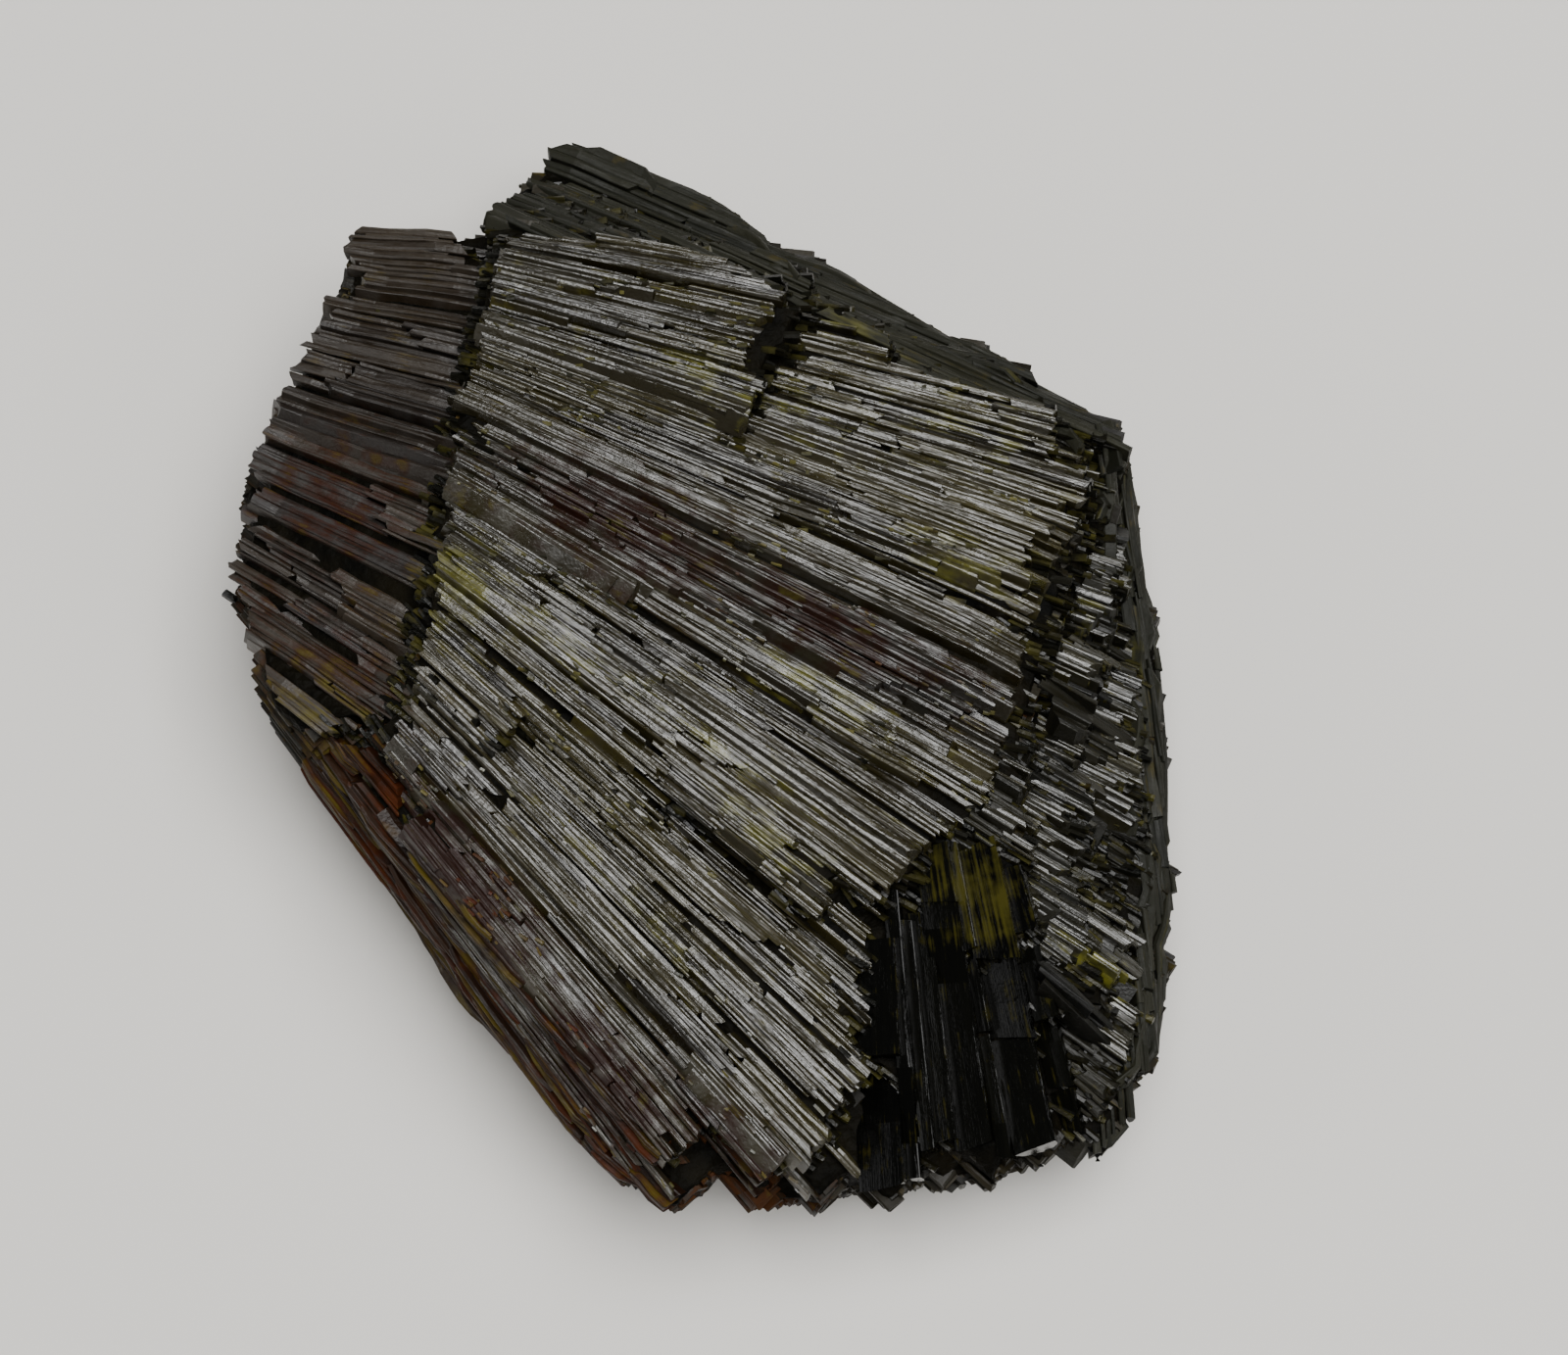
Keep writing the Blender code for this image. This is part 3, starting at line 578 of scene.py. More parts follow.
def striated_epidote(name, dark, light, brown, olive, polish, gloss=0.5, grain=0.5):
    """Striated prism faces of epidote: glassy, silvery where they catch the light."""
    material, tree, shader = new_material(name)
    on_crystal = add_node(tree, "ShaderNodeAttribute", attribute_name="on_crystal")
    tone = add_node(tree, "ShaderNodeAttribute", attribute_name="tone")
    # Streaks of lighter and darker growth, 0.15 mm across and about 4 mm long.
    streak_place = add_node(tree, "ShaderNodeVectorMath", {0: on_crystal.outputs["Vector"],
                            1: (6.0, 0.25, 1.0)}, operation="MULTIPLY")
    streaks = add_node(tree, "ShaderNodeTexNoise", {"Vector": streak_place, "Scale": 1.0,
                       "Detail": 3.0})
    patch_place = add_node(tree, "ShaderNodeTexCoord")
    patches = add_node(tree, "ShaderNodeTexNoise", {"Vector": patch_place.outputs["Object"],
                       "Scale": 800.0, "Detail": 4.0})
    # The tone darkens whole crystals: a random tone, with painted shade where the crystals lie in
    # shaded spots.
    amount = add_node(tree, "ShaderNodeMath", {0: streaks, 1: tone.outputs["Fac"]},
                      operation="MULTIPLY")
    body = add_node(tree, "ShaderNodeMix", {0: amount, 6: linear(dark), 7: linear(light)},
                    data_type="RGBA")
    # Iron stains and thin green places come in streaks too, in patches about a millimetre
    # across. They are thick where an attribute says so, and scattered thinly everywhere else.
    mottle = add_node(tree, "ShaderNodeMath", {0: patches, 1: streaks}, operation="ADD")
    broken_up = add_node(tree, "ShaderNodeMapRange", {"Value": mottle, "From Min": 0.70,
                         "From Max": 1.30, "To Min": 0.0, "To Max": 1.3})
    colour, shares = body.outputs[2], []
    for stain_name, hue in (("brown", brown), ("olive", olive)):
        spread = add_node(tree, "ShaderNodeAttribute", attribute_name=stain_name)
        reach = add_node(tree, "ShaderNodeMath", {0: spread.outputs["Fac"], 1: broken_up},
                         operation="ADD")
        share = add_node(tree, "ShaderNodeMapRange", {"Value": reach, "From Min": 1.02,
                         "From Max": 1.75})
        mixed = add_node(tree, "ShaderNodeMix", {0: share, 6: colour, 7: linear(hue)},
                         data_type="RGBA")
        colour = mixed.outputs[2]
        shares.append(share.outputs[0])
    tree.links.new(colour, shader.inputs["Base Color"])
    # Hair-fine grooves, 0.07 mm apart: the real ones are finer, and these are as fine as show.
    fine_place = add_node(tree, "ShaderNodeVectorMath", {0: on_crystal.outputs["Vector"],
                          1: (14.0, 0.9, 1.0)}, operation="MULTIPLY")
    fine = add_node(tree, "ShaderNodeTexNoise", {"Vector": fine_place, "Scale": 1.0,
                    "Detail": 3.0})
    # Crumbs and pits about 0.2 mm across break up the sheen.
    crumbs = add_node(tree, "ShaderNodeTexNoise", {"Vector": patch_place.outputs["Object"],
                      "Scale": 4500.0, "Detail": 3.0})
    rough_up = add_node(tree, "ShaderNodeMath", {0: crumbs, 1: 1.1, 2: fine},
                        operation="MULTIPLY_ADD")
    bump = add_node(tree, "ShaderNodeBump", {"Height": rough_up, "Strength": grain,
                    "Distance": 0.06 * MM})
    tree.links.new(bump.outputs["Normal"], shader.inputs["Normal"])
    # Polish comes and goes along a crystal every millimetre or two, and iron stain dulls it.
    dull_place = add_node(tree, "ShaderNodeVectorMath", {0: on_crystal.outputs["Vector"],
                          1: (2.0, 0.7, 1.0)}, operation="MULTIPLY")
    dull = add_node(tree, "ShaderNodeTexNoise", {"Vector": dull_place, "Scale": 1.0,
                    "Detail": 2.0})
    shine = add_node(tree, "ShaderNodeMapRange", {"Value": dull, "From Min": 0.3, "From Max": 0.7,
                     "To Min": polish[0], "To Max": polish[1]})
    ironed = add_node(tree, "ShaderNodeAttribute", attribute_name="brown")
    worn = add_node(tree, "ShaderNodeMath", {0: ironed.outputs["Fac"], 1: 0.15, 2: shine},
                    operation="MULTIPLY_ADD")
    tree.links.new(worn.outputs[0], shader.inputs["Roughness"])
    shader.inputs["IOR"].default_value = 1.74
    # Iron stain takes most of the sheen away.
    sheen = add_node(tree, "ShaderNodeMapRange", {"Value": shares[0], "To Min": gloss,
                     "To Max": 0.25 * gloss})
    tree.links.new(sheen.outputs[0], shader.inputs["Specular IOR Level"])
    return material


fan_epidote = striated_epidote("epidote_striated_prism_faces", "#110d06", "#46401f", "#20100a",
                               "#504e1b", (0.15, 0.45), gloss=0.45, grain=0.6)
guides = Guides()
lay_over(guides, MAIN_FAN, MAIN_GROWTH_POINT, pitch=0.25, seed=201, blade=(3, 9), mean_length=9.0)
fan = grow(guides, "broad_fan", fan_epidote, groove_depth=0.2)
guides = Guides()
lay_over(guides, MAIN_FAN, MAIN_GROWTH_POINT, pitch=0.22, seed=211, blade=(1, 4), mean_length=4.0,
         lift=(0.30, 0.55), gap_share=0.80)
grow(guides, "fan_splinters", fan_epidote, groove_depth=0.18)

# The lower slab at the left, past the long cross break, a millimetre or two lower than the fan.
# It is the same striated epidote, turned a little, with a worn surface stained maroon by iron.
# Its crystals are swept as the fan's are, from a growth point of their own.

SLAB_GROWTH_POINT = (-69.5, 36.0)
LEFT_SLAB = [
    (-23.4, -2.4), (-26.0, 2.0), (-28.0, 6.0), (-27.2, 11.0), (-25.6, 15.0), (-23.6, 20.0),
    (-21.2, 25.0), (-19.6, 28.2), (-11.2, 27.0), (-12.5, 19.6), (-13.9, 15.3), (-14.3, 9.0),
    (-15.1, 2.8), (-16.4, -1.4), (-18.0, -4.6),
]
slab_epidote = striated_epidote("epidote_striated_worn", "#120c08", "#3f3422", "#2d160d",
                                "#4a4419", (0.28, 0.58), gloss=0.37)
guides = Guides()
lay_over(guides, LEFT_SLAB, SLAB_GROWTH_POINT, pitch=0.30, seed=202, mean_length=8.0)
grow(guides, "left_slab", slab_epidote, groove_depth=0.2)

# The sloping face along the far edge: one side of the big crystals, dull and grey-green.
# It is weathered epidote, with almost none of the fan's silver sheen; its darker colour is also
# painted shade.
# Its crystals lie almost level with one another and run the whole length of the edge.

BEVEL_GROWTH_POINT = (-132.0, 88.0)
FAR_BEVEL = [
    (-13.2, 27.0), (-10.8, 32.2), (-8.4, 34.4), (-4.8, 33.8), (-0.5, 32.0), (5.0, 28.2),
    (16.0, 22.2), (22.0, 20.2), (25.5, 17.6), (24.0, 13.4), (18.7, 15.3), (13.2, 16.7),
    (6.0, 21.0), (-2.0, 23.8), (-11.2, 25.0),
]
# Darker colours and weak sheen: weathering, and painted shade of a face turned from the light.
dull_epidote = striated_epidote("epidote_weathered_shaded_face", "#0d0e07", "#29281a", "#2a150c",
                                "#3f3d18", (0.5, 0.75), gloss=0.13)
guides = Guides()
lay_over(guides, FAR_BEVEL, BEVEL_GROWTH_POINT, pitch=0.36, seed=203, mean_length=12.0,
         uneven=0.05, roll=4.0, lift=(0.05, 0.25), crown=0.1)
grow(guides, "far_bevel", dull_epidote, groove_depth=0.15)

# The steep side at the lower left, where the fan's crystals show their brown flanks.
# The epidote there is thin and iron stained, so it lets some light through: red-brown to amber.
# Long blades lie down the slope, and lean outwards.

NEAR_FLANK = [
    (-23.4, -2.4), (-18.0, -4.6), (-16.6, -10.4), (-12.2, -17.6), (-7.7, -23.2), (-3.3, -27.0),
    (-6.0, -29.0), (-14.0, -20.0), (-22.0, -8.0),
]
brown_epidote = striated_epidote("epidote_iron_stained_flank", "#120905", "#35200f", "#3a1b0b",
                                 "#433911", (0.25, 0.5), gloss=0.09)
guides = Guides()
lay_over(guides, NEAR_FLANK, MAIN_GROWTH_POINT, pitch=0.30, seed=204, mean_length=10.0,
         lean_over=-6.0)
grow(guides, "near_flank", brown_epidote, groove_depth=0.2)

# The crust of small terraces on the right: short striated crystals, each on a ledge of its own.
# They are the same glassy epidote as the fan, with hollows where pieces have dropped out, coloured
# dark as painted shade.
# Short breaks, uneven lifts and a slope on every piece give the ledges, over a lower layer that is
# darker and duller as painted shade.

RIGHT_CRUST = [
    (19.0, 15.0), (21.8, 14.2), (23.5, 10.0), (23.9, 6.0), (24.6, 2.0), (24.6, -6.0),
    (25.1, -10.0), (24.3, -15.0), (24.0, -19.0), (22.7, -22.5), (20.9, -26.5), (20.6, -27.5),
    (20.4, -22.0), (18.2, -16.0), (16.8, -9.8), (12.4, -9.8), (15.6, -7.2), (17.0, -2.0),
    (18.2, 3.6), (19.8, 7.0), (22.2, 11.4),
]
# The lower layer in the hollows: darker colours and less sheen than the crust, as painted shade.
shaded_epidote = striated_epidote("epidote_shaded_hollows", "#080806", "#282515", "#1c0d07",
                                  "#3d3c14", (0.3, 0.6), gloss=0.17)
guides = Guides()
lay_over(guides, RIGHT_CRUST, MAIN_GROWTH_POINT, pitch=0.32, seed=205, blade=(3, 8),
         mean_length=1.6, shortest=0.5, lift=(-0.6, 0.0), roll=14.0, climb=12.0, depth=2.2,
         skew=0.8, station=3.0, worn=0.7, step_drop=1.6, steepest=1.3)
grow(guides, "crust_hollows", shaded_epidote, groove_depth=0.2, corners=10)
crust_epidote = striated_epidote("epidote_terraced_crust", "#0f0e07", "#403b20", "#2c160b",
                                 "#5d5b1c", (0.2, 0.5), gloss=0.48)
guides = Guides()
lay_over(guides, RIGHT_CRUST, MAIN_GROWTH_POINT, pitch=0.27, seed=215, blade=(7, 13),
         mean_length=1.8, shortest=1.0, lift=(0.1, 0.6), roll=6.0, climb=5.0, depth=2.2,
         gap_share=0.36, skew=0.35, station=3.0, worn=0.7, step_drop=1.6, steepest=1.3)
grow(guides, "right_crust", crust_epidote, groove_depth=0.2, corners=10)

# The near-black group at the lower right: the freshest crystals, with smooth glassy faces.
# The epidote is thick and clean here, so it drinks the light, but for one thin olive segment.
# The prisms are broad, point down the specimen and lean away from the light.

DARK_GROWTH_POINT = (7.0, 27.0)
DARK_GROUP = [
    (9.2, -12.5), (12.4, -9.8), (16.8, -9.8), (18.2, -16.0), (20.4, -22.0), (21.0, -28.0),
    (16.0, -29.0), (8.6, -28.0), (8.1, -25.4), (9.0, -20.0), (8.9, -17.0),
]
glassy_epidote = striated_epidote("epidote_glassy_crystal_faces", "#030303", "#11110b", "#120904",
                                  "#35320f", (0.07, 0.16), gloss=0.08, grain=0.2)
guides = Guides()
lay_over(guides, DARK_GROUP, DARK_GROWTH_POINT, pitch=1.3, seed=206, blade=(2, 3),
         mean_length=9.0, uneven=0.04, roll=3.0, lean_over=-24.0, depth=2.0, skew=0.15,
         lift=(0.0, 0.4), crown=0.1, splay=0.0, slant=0.2, sunk=0.0, follow=0.0)
grow(guides, "dark_group", glassy_epidote, groove_depth=0.04, shoulder=0.03)

# The broken sides and the underside: the same crystals seen from their ends and their backs.
# They are duller and browner than the top, and coloured darker as painted shade; their ends make
# uneven ledges all round.
# Lines are laid through the solid level by level, and kept only close under its surface.

SHELL_DEPTH = 1.3
THINNEST = 2.0
MOST_CROSSINGS = 12
CLEAR_OF_TOP = 0.9
INTO_MASS = 0.7
SHORT_OF_STEP = 0.5
AT_OUTSIDE = (-0.45, -0.1)
SNAPPED_LENGTHS = (3.0, 10.0)


def turned_up(normal, run, otherwise, least, roll):
    """The way up for a crystal: along a normal but square to its run, and rolled a little."""
    up = normal - run * normal.dot(run)
    up = up.normalized() if up.length > least else otherwise
    return (up + up.cross(run) * math.tan(math.radians(roll))).normalized()


def lay_around(guides, growth, pitch, levels, level_gap, seed, stand_out=0.35):
    """Lays lines just under the sides and the underside, in a fan at each of many levels."""
    dice = random.Random(seed)
    growth = np.array(to_frame([growth])[0])
    low, high = (np.array(corner)[:2] / MM for corner in cad_box)
    headings, spread = seen_from(growth, [(x, y) for x in (low[0], high[0])
                                          for y in (low[1], high[1])])
    reach = spread.mean()
    level = levels[0]
    while level < levels[1]:
        heading = headings.min()
        while heading < headings.max():
            width = pitch * dice.uniform(0.7, 1.4)
            run = np.array([math.cos(heading), math.sin(heading)])
            heading += width / reach
            z = max(levels[0], level + dice.uniform(-0.3, 0.3))
            ray = Vector((run[0], run[1], 0))
            start = Vector((growth[0], growth[1], z)) + ray * (spread.min() - 30)
            crossed, at = [], 0.0
            while len(crossed) < MOST_CROSSINGS:
                hit = surface.ray_cast((start + ray * at) * MM, ray)
                if hit[0] is None:
                    break
                at += hit[3] / MM + 0.02
                # Where the side is cut at a slant, an end is drawn back to keep its corner in.
                square = max(0.2, abs(hit[1].dot(ray)))
                crossed.append((at, 0.6 * width * math.sqrt(max(0, 1 - square**2)) / square))
            for (near, near_back), (far, far_back) in zip(crossed[::2], crossed[1::2]):
                if far - near < THINNEST:
                    continue
                r = np.append(np.arange(near, far, 1.0), far)
                x, y = start.x + r * run[0], start.y + r * run[1]
                kept, ups = [], []
                for px, py, over in zip(x, y, level_at(x, y)):
                    _, normal, _, gap = surface.find_nearest(Vector((px, py, z)) * MM)
                    kept.append(gap / MM < SHELL_DEPTH and (
                        math.isnan(over) or z + CLEAR_OF_TOP < over))
                    ups.append(normal)
                cuts = np.flatnonzero(np.diff(np.array(kept, int), prepend=0, append=0))
                for first, final in zip(cuts[::2], cuts[1::2] - 1):
                    # An end at the outside stands out a little, one under a step stops short of
                    # it, and one that runs on inside the mass goes deeper in.
                    ends, under_step = [], False
                    for index, way in ((first, -1), (final, 1)):
                        beyond = level_at(x[index:index + 1] + way * run[0],
                                          y[index:index + 1] + way * run[1])[0]
                        if 0 < index < len(r) - 1:
                            push = INTO_MASS
                        elif math.isnan(beyond):
                            push = dice.uniform(*AT_OUTSIDE)
                        else:
                            push, under_step = -SHORT_OF_STEP, True
                        end = max(r[index] + way * push, near + near_back)
                        ends.append(min(end, far - far_back))
                    if ends[1] - ends[0] < (4.0 if under_step else 1.2):
                        continue
                    # Long runs are snapped across, and each part lies a little higher or lower.
                    begin = ends[0]
                    while begin < ends[1] - 0.5:
                        finish = begin + dice.uniform(*SNAPPED_LENGTHS)
                        finish = ends[1] if ends[1] - finish < 1.5 else finish
                        middle = min(int((begin + finish) / 2 - near), len(r) - 1)
                        up = turned_up(ups[middle], ray, Vector((0, 0, 1)), 0.35,
                                       dice.gauss(0, 12))
                        stations = np.linspace(begin, finish, 2 + int((finish - begin) / 6))
                        out = up * (stand_out * dice.uniform(0.1, 1.0))
                        points = [start + ray * float(place) + out for place in stations]
                        px, py = float(x[middle]), float(y[middle])
                        guides.add(
                            points, up, along=[float(place) for place in stations],
                            half_width=width * dice.uniform(0.52, 0.66) * MM,
                            depth=min(1.3, z * 0.9 + 0.2) * MM, tone=dice.uniform(0, 1.0),
                            brown=stain(BROWN_STAINS, px, py, growth),
                            olive=0.6 * stain(OLIVE_STAINS, px, py, growth),
                            lean=dice.uniform(-0.7, 0.7), rise=dice.uniform(-0.4, 0.4),
                            seed=dice.uniform(0, 0.7),
                        )
                        begin = finish
        level += level_gap


# Darker colours and less sheen than the top: painted shade on the sides, over a duller, browner
# epidote.
side_epidote = striated_epidote("epidote_broken_sides", "#0c0a05", "#2b2512", "#38200f",
                                "#454217", (0.35, 0.65), gloss=0.09)
guides = Guides()
lay_around(guides, MAIN_GROWTH_POINT, pitch=0.55, levels=(0.7, 6.5), level_gap=0.55, seed=207)
grow(guides, "underside", side_epidote, groove_depth=0.2, groove_spacing=0.3, corners=6)
guides = Guides()
lay_around(guides, MAIN_GROWTH_POINT, pitch=0.42, levels=(6.5, 19.0), level_gap=0.5, seed=208,
           stand_out=0.25)
grow(guides, "broken_sides", side_epidote, groove_depth=0.2, groove_spacing=0.3, corners=6)

# The thin smooth rim along the right and far edges: dark crystals that lie along the edge itself.
# They are the same weathered epidote, darker as painted shade, and cover the broken ends of the
# crystals that stop there.
# A band of them lies on top, and level by level they are swept along the sides, where rays from
# outside meet the solid.

RIM_EDGES = [((24.6, 19.0), (28.6, -25.0)), ((-7.0, 35.2), (24.6, 19.0))]
RIM_DEPTH = 3.0
SIDE_SAMPLE = 1.0
LARGEST_JOG = 1.0
RAYS_FROM = 15
MISSED = -99


def lay_along(guides, start, end, levels, level_gap, seed, lift=(-0.05, 0.12), parts=(4, 14),
              brown=(0.0, 0.0), olive=(0.0, 0.4), sink=0.5):
    """Lays lines along one side of the solid, from start to end, at each of many levels."""
    dice = random.Random(seed)
    start, end = (np.array(place) for place in to_frame([start, end]))
    length = np.linalg.norm(end - start)
    run = (end - start) / length
    out = np.array([-run[1], run[0]]) * (1 if -run[1] * start[0] + run[0] * start[1] > 0 else -1)
    s = np.arange(0, length, SIDE_SAMPLE)
    heights = np.arange(levels[0], levels[1], level_gap)
    inset, facing = np.full((len(heights), len(s)), np.nan), np.zeros((len(heights), len(s), 3))
    for row, z in enumerate(heights):
        for column, place in enumerate(s):
            x, y = start + run * place + out * RAYS_FROM
            hit = surface.ray_cast(Vector((x, y, z)) * MM, Vector((-out[0], -out[1], 0)))
            if hit[0]:
                inset[row, column] = RAYS_FROM - hit[3] / MM
                facing[row, column] = hit[1]
    outermost = np.max(np.where(np.isnan(inset), MISSED, inset), axis=0)
    for row, z in enumerate(heights):
        depths = np.where(np.isnan(inset[row]), MISSED, inset[row])
        whole = depths > outermost - RIM_DEPTH
        whole &= np.abs(np.diff(depths, prepend=depths[:1])) < LARGEST_JOG
        cuts = np.flatnonzero(np.diff(whole.astype(int), prepend=0, append=0))
        for first, final in zip(cuts[::2], cuts[1::2]):
            begin = first
            while final - begin >= 3:
                stop = min(final, begin + dice.randint(*parts))
                if final - stop < 3:
                    stop = final
                raised, half = dice.uniform(*lift), level_gap * dice.uniform(0.5, 0.8)
                normal = Vector(facing[row, begin:stop].mean(axis=0))
                up = turned_up(normal, Vector((*run, 0)), Vector((*out, 0)), 0.3,
                               dice.gauss(0, 9))
                points = []
                for column in range(begin, stop):
                    near = inset[row, max(first, column - 2):min(final, column + 3)]
                    place = min(near.mean(), inset[row, column] + 0.1)
                    place -= sink if column in (begin, stop - 1) else 0.0
                    # One that lies flat is as wide outwards as it would be tall.
                    place -= half * abs(up.z)
                    x, y = start + run * s[column] + out * place
                    points.append(Vector((x, y, z + dice.gauss(0, 0.03))) + up * raised)
                guides.add(
                    points, up, along=[float(s[column]) for column in range(begin, stop)],
                    half_width=half * MM, depth=1.0 * MM,
                    tone=dice.uniform(0.2, 1.0), brown=dice.uniform(*brown),
                    olive=dice.uniform(*olive) * dice.choice((0, 1)), lean=dice.uniform(-0.5, 0.5),
                    rise=dice.uniform(-0.4, 0.0), seed=dice.uniform(0, 0.7),
                )
                begin = stop


RIM_GROWTH_POINT = (10.1, 113.2)
RIM_TOP = [
    (21.8, 14.2), (24.6, 19.0), (27.6, 10.0), (29.5, -8.0), (29.5, -24.0), (22.0, -31.0),
    (20.6, -27.5), (20.9, -26.5), (22.7, -22.5), (24.0, -19.0), (24.3, -15.0), (25.1, -10.0),
    (24.6, -6.0), (24.6, 2.0), (23.9, 6.0), (23.5, 10.0),
]
guides = Guides()
lay_over(guides, RIM_TOP, RIM_GROWTH_POINT, pitch=0.34, seed=219, blade=(2, 4), mean_length=5.0,
         shortest=0.8, lift=(-0.1, 0.2), roll=4.0, depth=2.0, slant=0.4, crown=0.1, splay=4.0,
         step_drop=2.0)
for number, (edge_start, edge_end) in enumerate(RIM_EDGES):
    lay_along(guides, edge_start, edge_end, levels=(1.0, 21.0), level_gap=0.5, seed=220 + number)
grow(guides, "dark_rim", dull_epidote, groove_depth=0.12, corners=8)

# The fibrous lower half of the near flank: thin brown and amber crystals down to the resting side.
# The iron-stained epidote is only a fraction of a millimetre thick in each, so it looks lit.
# They are laid along the flank as the rim's are, but finer, shorter and less even.

guides = Guides()
lay_along(guides, (-24.2, -4.5), (-3.0, -32.0), levels=(1.2, 17.0), level_gap=0.27, seed=231,
          lift=(0.15, 0.5), parts=(4, 11), brown=(0.0, 0.9), olive=(0.4, 0.9), sink=0.15)
grow(guides, "flank_fibres", brown_epidote, groove_depth=0.15, corners=8)

# The broken ends in the inner steps: short stubs of epidote left where longer crystals snapped.
# They are dark and glassy, about half a millimetre thick, and point along the fan.
# They stand on the steep faces of the mass that lie between one level and the next.

GROWTH_LEVEL = 8.0
STEEP, OVERHUNG = 0.80, -0.1
STEPS_ABOVE = 4.0
NEXT_LEVEL_WITHIN = 2.5
STUB_REACH = 1.6


def stub_tree():
    """Geometry Nodes: scatters short six-sided stubs over the marked places, all along one fan."""
    tree, given = new_tree("scattered_stubs", [
        ("Stubs per square metre", "Float"), ("Smallest", "Vector"), ("Largest", "Vector"),
        ("Growth point", "Vector"), ("Seed", "Int")])
    marked = add_node(tree, "GeometryNodeInputNamedAttribute", {"Name": "marked"},
                      data_type="FLOAT")
    chosen = add_node(tree, "ShaderNodeMath", {0: marked, 1: 0.5}, operation="GREATER_THAN")
    spread = add_node(tree, "GeometryNodeDistributePointsOnFaces", {"Mesh": given["Geometry"],
                      "Selection": chosen, "Density": given["Stubs per square metre"],
                      "Seed": given["Seed"]})
    stub = add_node(tree, "GeometryNodeMeshCylinder", {"Vertices": 6, "Radius": 0.5, "Depth": 1.0})
    here = add_node(tree, "GeometryNodeInputPosition")
    away = add_node(tree, "ShaderNodeVectorMath", {0: here, 1: given["Growth point"]},
                    operation="SUBTRACT")
    straight = add_node(tree, "ShaderNodeVectorMath", {0: away}, operation="NORMALIZE")
    stray = add_node(tree, "FunctionNodeRandomValue", {0: (-0.25, -0.25, -0.25),
                     1: (0.25, 0.25, 0.15), "Seed": given["Seed"]}, data_type="FLOAT_VECTOR")
    heading = add_node(tree, "ShaderNodeVectorMath", {0: straight, 1: stray}, operation="ADD")
    turned = add_node(tree, "FunctionNodeAlignRotationToVector", {"Vector": heading}, axis="Z")
    sizes = add_node(tree, "FunctionNodeRandomValue", {0: given["Smallest"], 1: given["Largest"],
                     "Seed": given["Seed"]}, data_type="FLOAT_VECTOR")
    placed = add_node(tree, "GeometryNodeInstanceOnPoints", {"Points": spread, "Instance": stub,
                      "Rotation": turned, "Scale": sizes})
    shade = add_node(tree, "FunctionNodeRandomValue", {"Seed": given["Seed"]}, data_type="FLOAT")
    green = add_node(tree, "ShaderNodeMath", {0: shade.outputs[1], 1: 0.65}, operation="MULTIPLY")
    stained = add_node(tree, "GeometryNodeStoreNamedAttribute", {"Geometry": placed,
                       "Name": "olive", "Value": green}, data_type="FLOAT", domain="INSTANCE")
    shades = add_node(tree, "FunctionNodeRandomValue", {0: (0.0, 0.0, 0.0), 1: (9.0, 9.0, 90.0),
                      "Seed": given["Seed"]}, data_type="FLOAT_VECTOR")
    streaked = add_node(tree, "GeometryNodeStoreNamedAttribute", {"Geometry": stained,
                        "Name": "on_crystal", "Value": shades}, data_type="FLOAT_VECTOR",
                        domain="INSTANCE")
    toned = add_node(tree, "GeometryNodeStoreNamedAttribute", {"Geometry": streaked,
                     "Name": "tone", "Value": shade.outputs[1]}, data_type="FLOAT",
                     domain="INSTANCE")
    return finish_tree(tree, toned, given["Material"])


scattered_stubs = stub_tree()


def scatter(ground, marks, name, material, density, smallest, largest, seed):
    """Scatters stubs over the marked points of a copy of a mesh, as a plain piece."""
    bare = add_object(name + "_ground", ground.copy())
    bare.data.attributes.new("marked", "FLOAT", "POINT").data.foreach_set(
        "value", marks.astype(float))
    growth = (*to_frame([MAIN_GROWTH_POINT])[0], GROWTH_LEVEL)
    made_by(scattered_stubs, bare, name, {
        "Stubs per square metre": density, "Smallest": [size * MM for size in smallest],
        "Largest": [size * MM for size in largest],
        "Growth point": [value * MM for value in growth], "Seed": seed, "Material": material})


def places_of(mesh):
    """Every point of a mesh in millimetres, and the way it faces."""
    spots, facing = np.zeros(len(mesh.vertices) * 3), np.zeros(len(mesh.vertices) * 3)
    mesh.vertices.foreach_get("co", spots)
    mesh.vertices.foreach_get("normal", facing)
    return spots.reshape(-1, 3) / MM, facing.reshape(-1, 3)


spots, facing = places_of(mass.data)
level_way = facing[:, :2] / np.maximum(np.linalg.norm(facing[:, :2], axis=1, keepdims=True), 1e-6)
beyond = spots[:, :2] + NEXT_LEVEL_WITHIN * level_way
in_a_step = (facing[:, 2] < STEEP) & (facing[:, 2] > OVERHUNG) & (spots[:, 2] > STEPS_ABOVE)
in_a_step &= ~np.isnan(level_at(beyond[:, 0], beyond[:, 1]))
in_a_step |= inside(to_frame(RIGHT_CRUST), spots[:, 0], spots[:, 1]) & (facing[:, 2] > 0.5)
# None where a stub would stand out past the edge of the specimen.
ahead = spots[:, :2] - np.array(to_frame([MAIN_GROWTH_POINT])[0])
ahead = spots[:, :2] + STUB_REACH * ahead / np.linalg.norm(ahead, axis=1, keepdims=True)
in_a_step &= ~np.isnan(level_at(ahead[:, 0], ahead[:, 1]))
stub_epidote = striated_epidote("epidote_snapped_ends", "#070704", "#1f1c0f", "#2a140a",
                                "#3a3716", (0.2, 0.45), gloss=0.14)
scatter(mass.data, in_a_step, "snapped_ends", stub_epidote, 2.8e6, (0.25, 0.2, 0.7),
        (0.75, 0.5, 2.2), seed=9)

# Crumbs in the partings of the fan: tiny second-growth crystals, thin enough to be olive green.
# They are the same epidote, a few tenths of a millimetre long, caught between the big crystals.
# They lie in drifts on the swept crystals, where a slow noise is high.

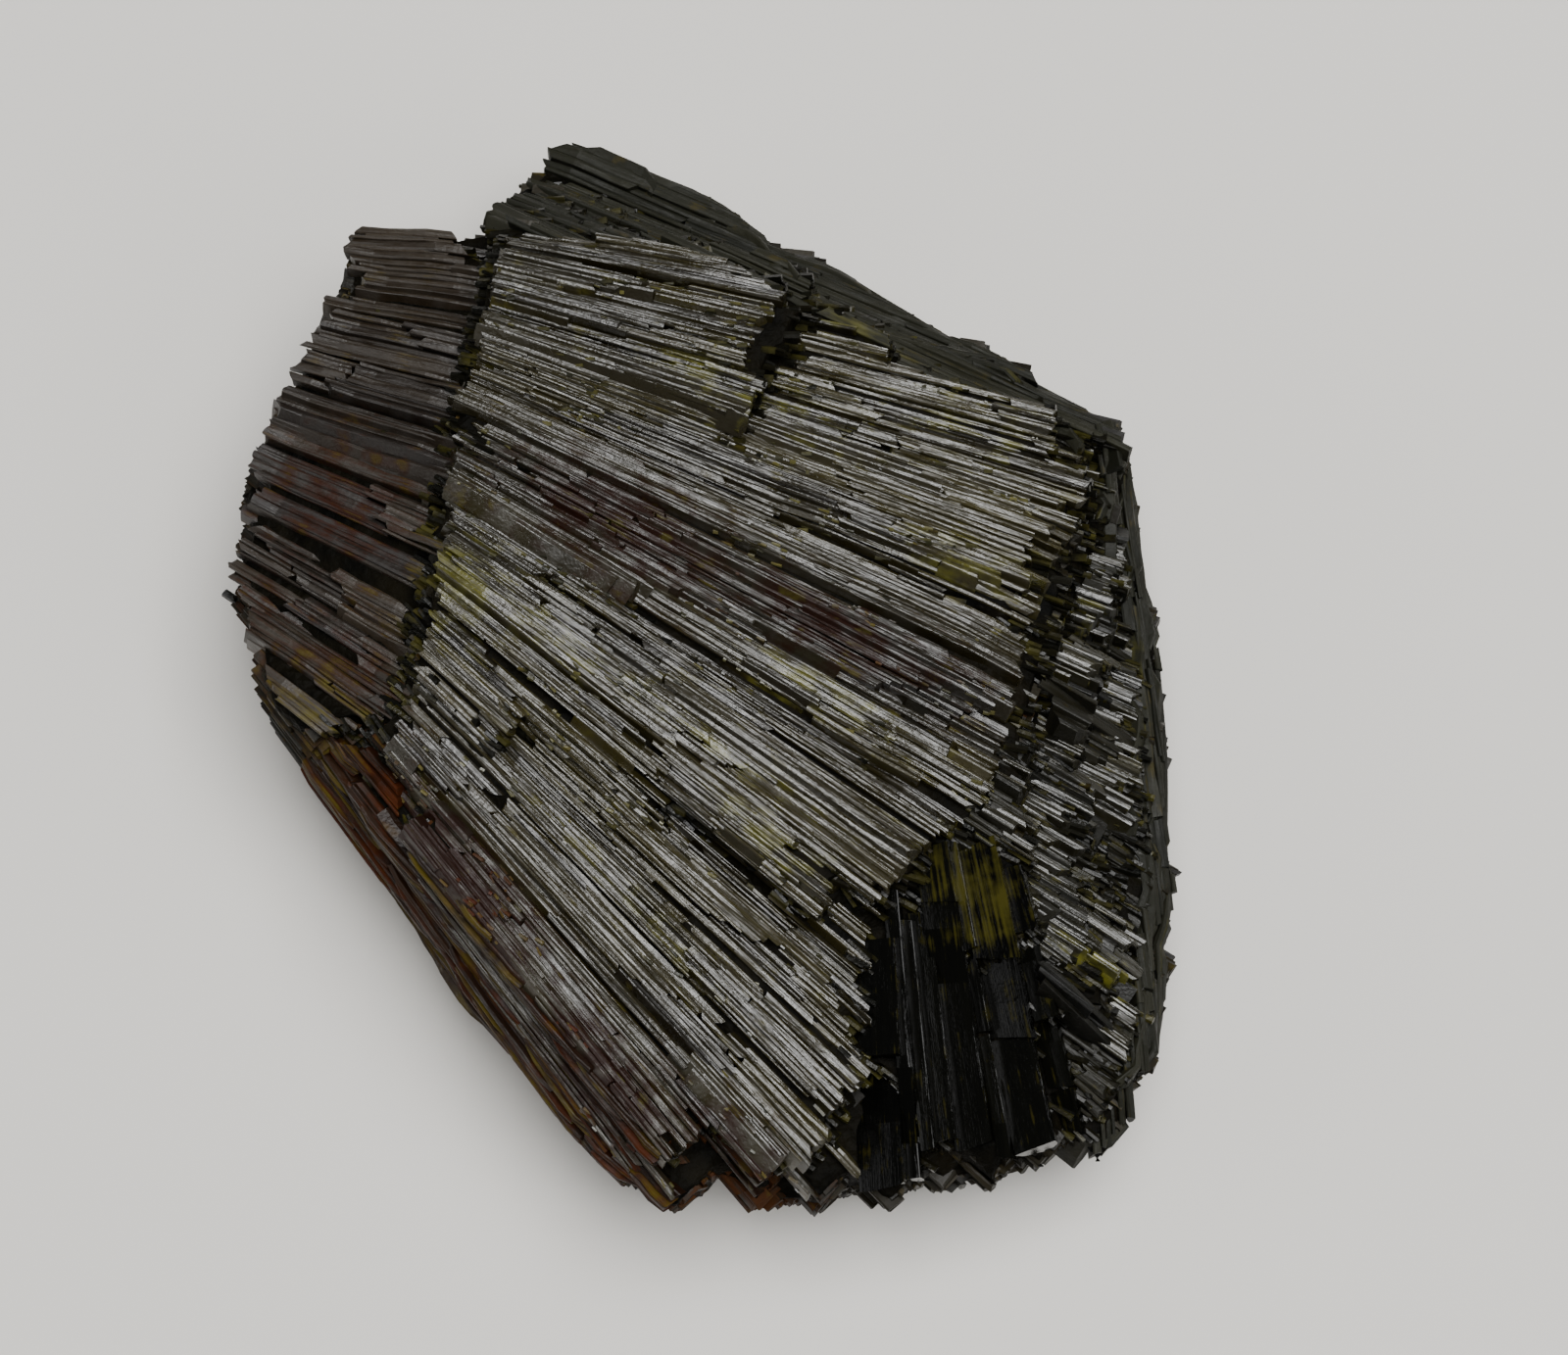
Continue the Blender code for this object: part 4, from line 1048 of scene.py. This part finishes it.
# The drifts are about 5 mm long and 2 mm wide.
DRIFTS_PER_MM = (0.22, 0.45)
DRIFT_FROM = 0.22
spots, facing = places_of(fan.data)
drifts = np.array([noise.noise(Vector((x * DRIFTS_PER_MM[0], y * DRIFTS_PER_MM[1], 3.0)))
                   for x, y, _ in spots])
crumb_epidote = striated_epidote("epidote_second_growth", "#15150a", "#55512a", "#3a1c0e",
                                 "#57532a", (0.15, 0.5), gloss=0.4)
scatter(fan.data, (drifts > DRIFT_FROM) & (facing[:, 2] > 0.0), "fan_crumbs", crumb_epidote,
        1.5e6, (0.10, 0.10, 0.15), (0.32, 0.28, 0.75), seed=14)

# The floor it lies on, the studio lights and the camera.
# The floor is matt white paper, and the lights are soft and plain, with the widest one overhead.
# The camera looks down on the specimen, as the photograph does.

FLOOR_REACH = 1.5
floor_mesh = bpy.data.meshes.new("pale_floor")
floor_mesh.from_pydata([(x * FLOOR_REACH, y * FLOOR_REACH, 0)
                        for x, y in ((-1, -1), (1, -1), (1, 1), (-1, 1))], [], [(0, 1, 2, 3)])
floor = add_object("pale_floor", floor_mesh)
paper, _, paper_shader = new_material("matt_white_paper")
paper_shader.inputs["Base Color"].default_value = linear("#d9d6d0")
paper_shader.inputs["Roughness"].default_value = 0.9
floor_mesh.materials.append(paper)

world = bpy.data.worlds.new("soft_room")
world.use_nodes = True
world.node_tree.nodes["Background"].inputs["Color"].default_value = linear("#c8ccd0")
world.node_tree.nodes["Background"].inputs["Strength"].default_value = 0.14
bpy.context.scene.world = world


def add_softbox(name, place, target, size, power):
    """A square soft light that faces a point."""
    lamp = bpy.data.lights.new(name, "AREA")
    lamp.shape = "SQUARE"
    lamp.size = size
    lamp.energy = power
    made = add_object(name, lamp)
    made.location = place
    made.rotation_euler = (Vector(target) - Vector(place)).to_track_quat("-Z", "Y").to_euler()


add_softbox("softbox_over", (0.11, 0.02, 0.70), (0, 0, 0.01), 0.50, 8.4)
add_softbox("softbox_left", (-0.6, -0.1, 0.35), (0, 0, 0.01), 0.35, 0.8)
add_softbox("softbox_right", (0.5, -0.3, 0.5), (0, 0, 0.01), 0.35, 1.0)

ELEVATION = math.radians(76)
DISTANCE = 248.9
TARGET = (4.808, -1.084, 12.0)
camera_data = bpy.data.cameras.new("camera")
camera_data.lens = 100.0
camera_data.sensor_width = 36.0
camera = add_object("camera", camera_data)
target = Vector(TARGET) * MM
camera.location = target + Vector((0, -math.cos(ELEVATION), math.sin(ELEVATION))) * DISTANCE * MM
camera.rotation_euler = (target - camera.location).to_track_quat("-Z", "Y").to_euler()
bpy.context.scene.camera = camera
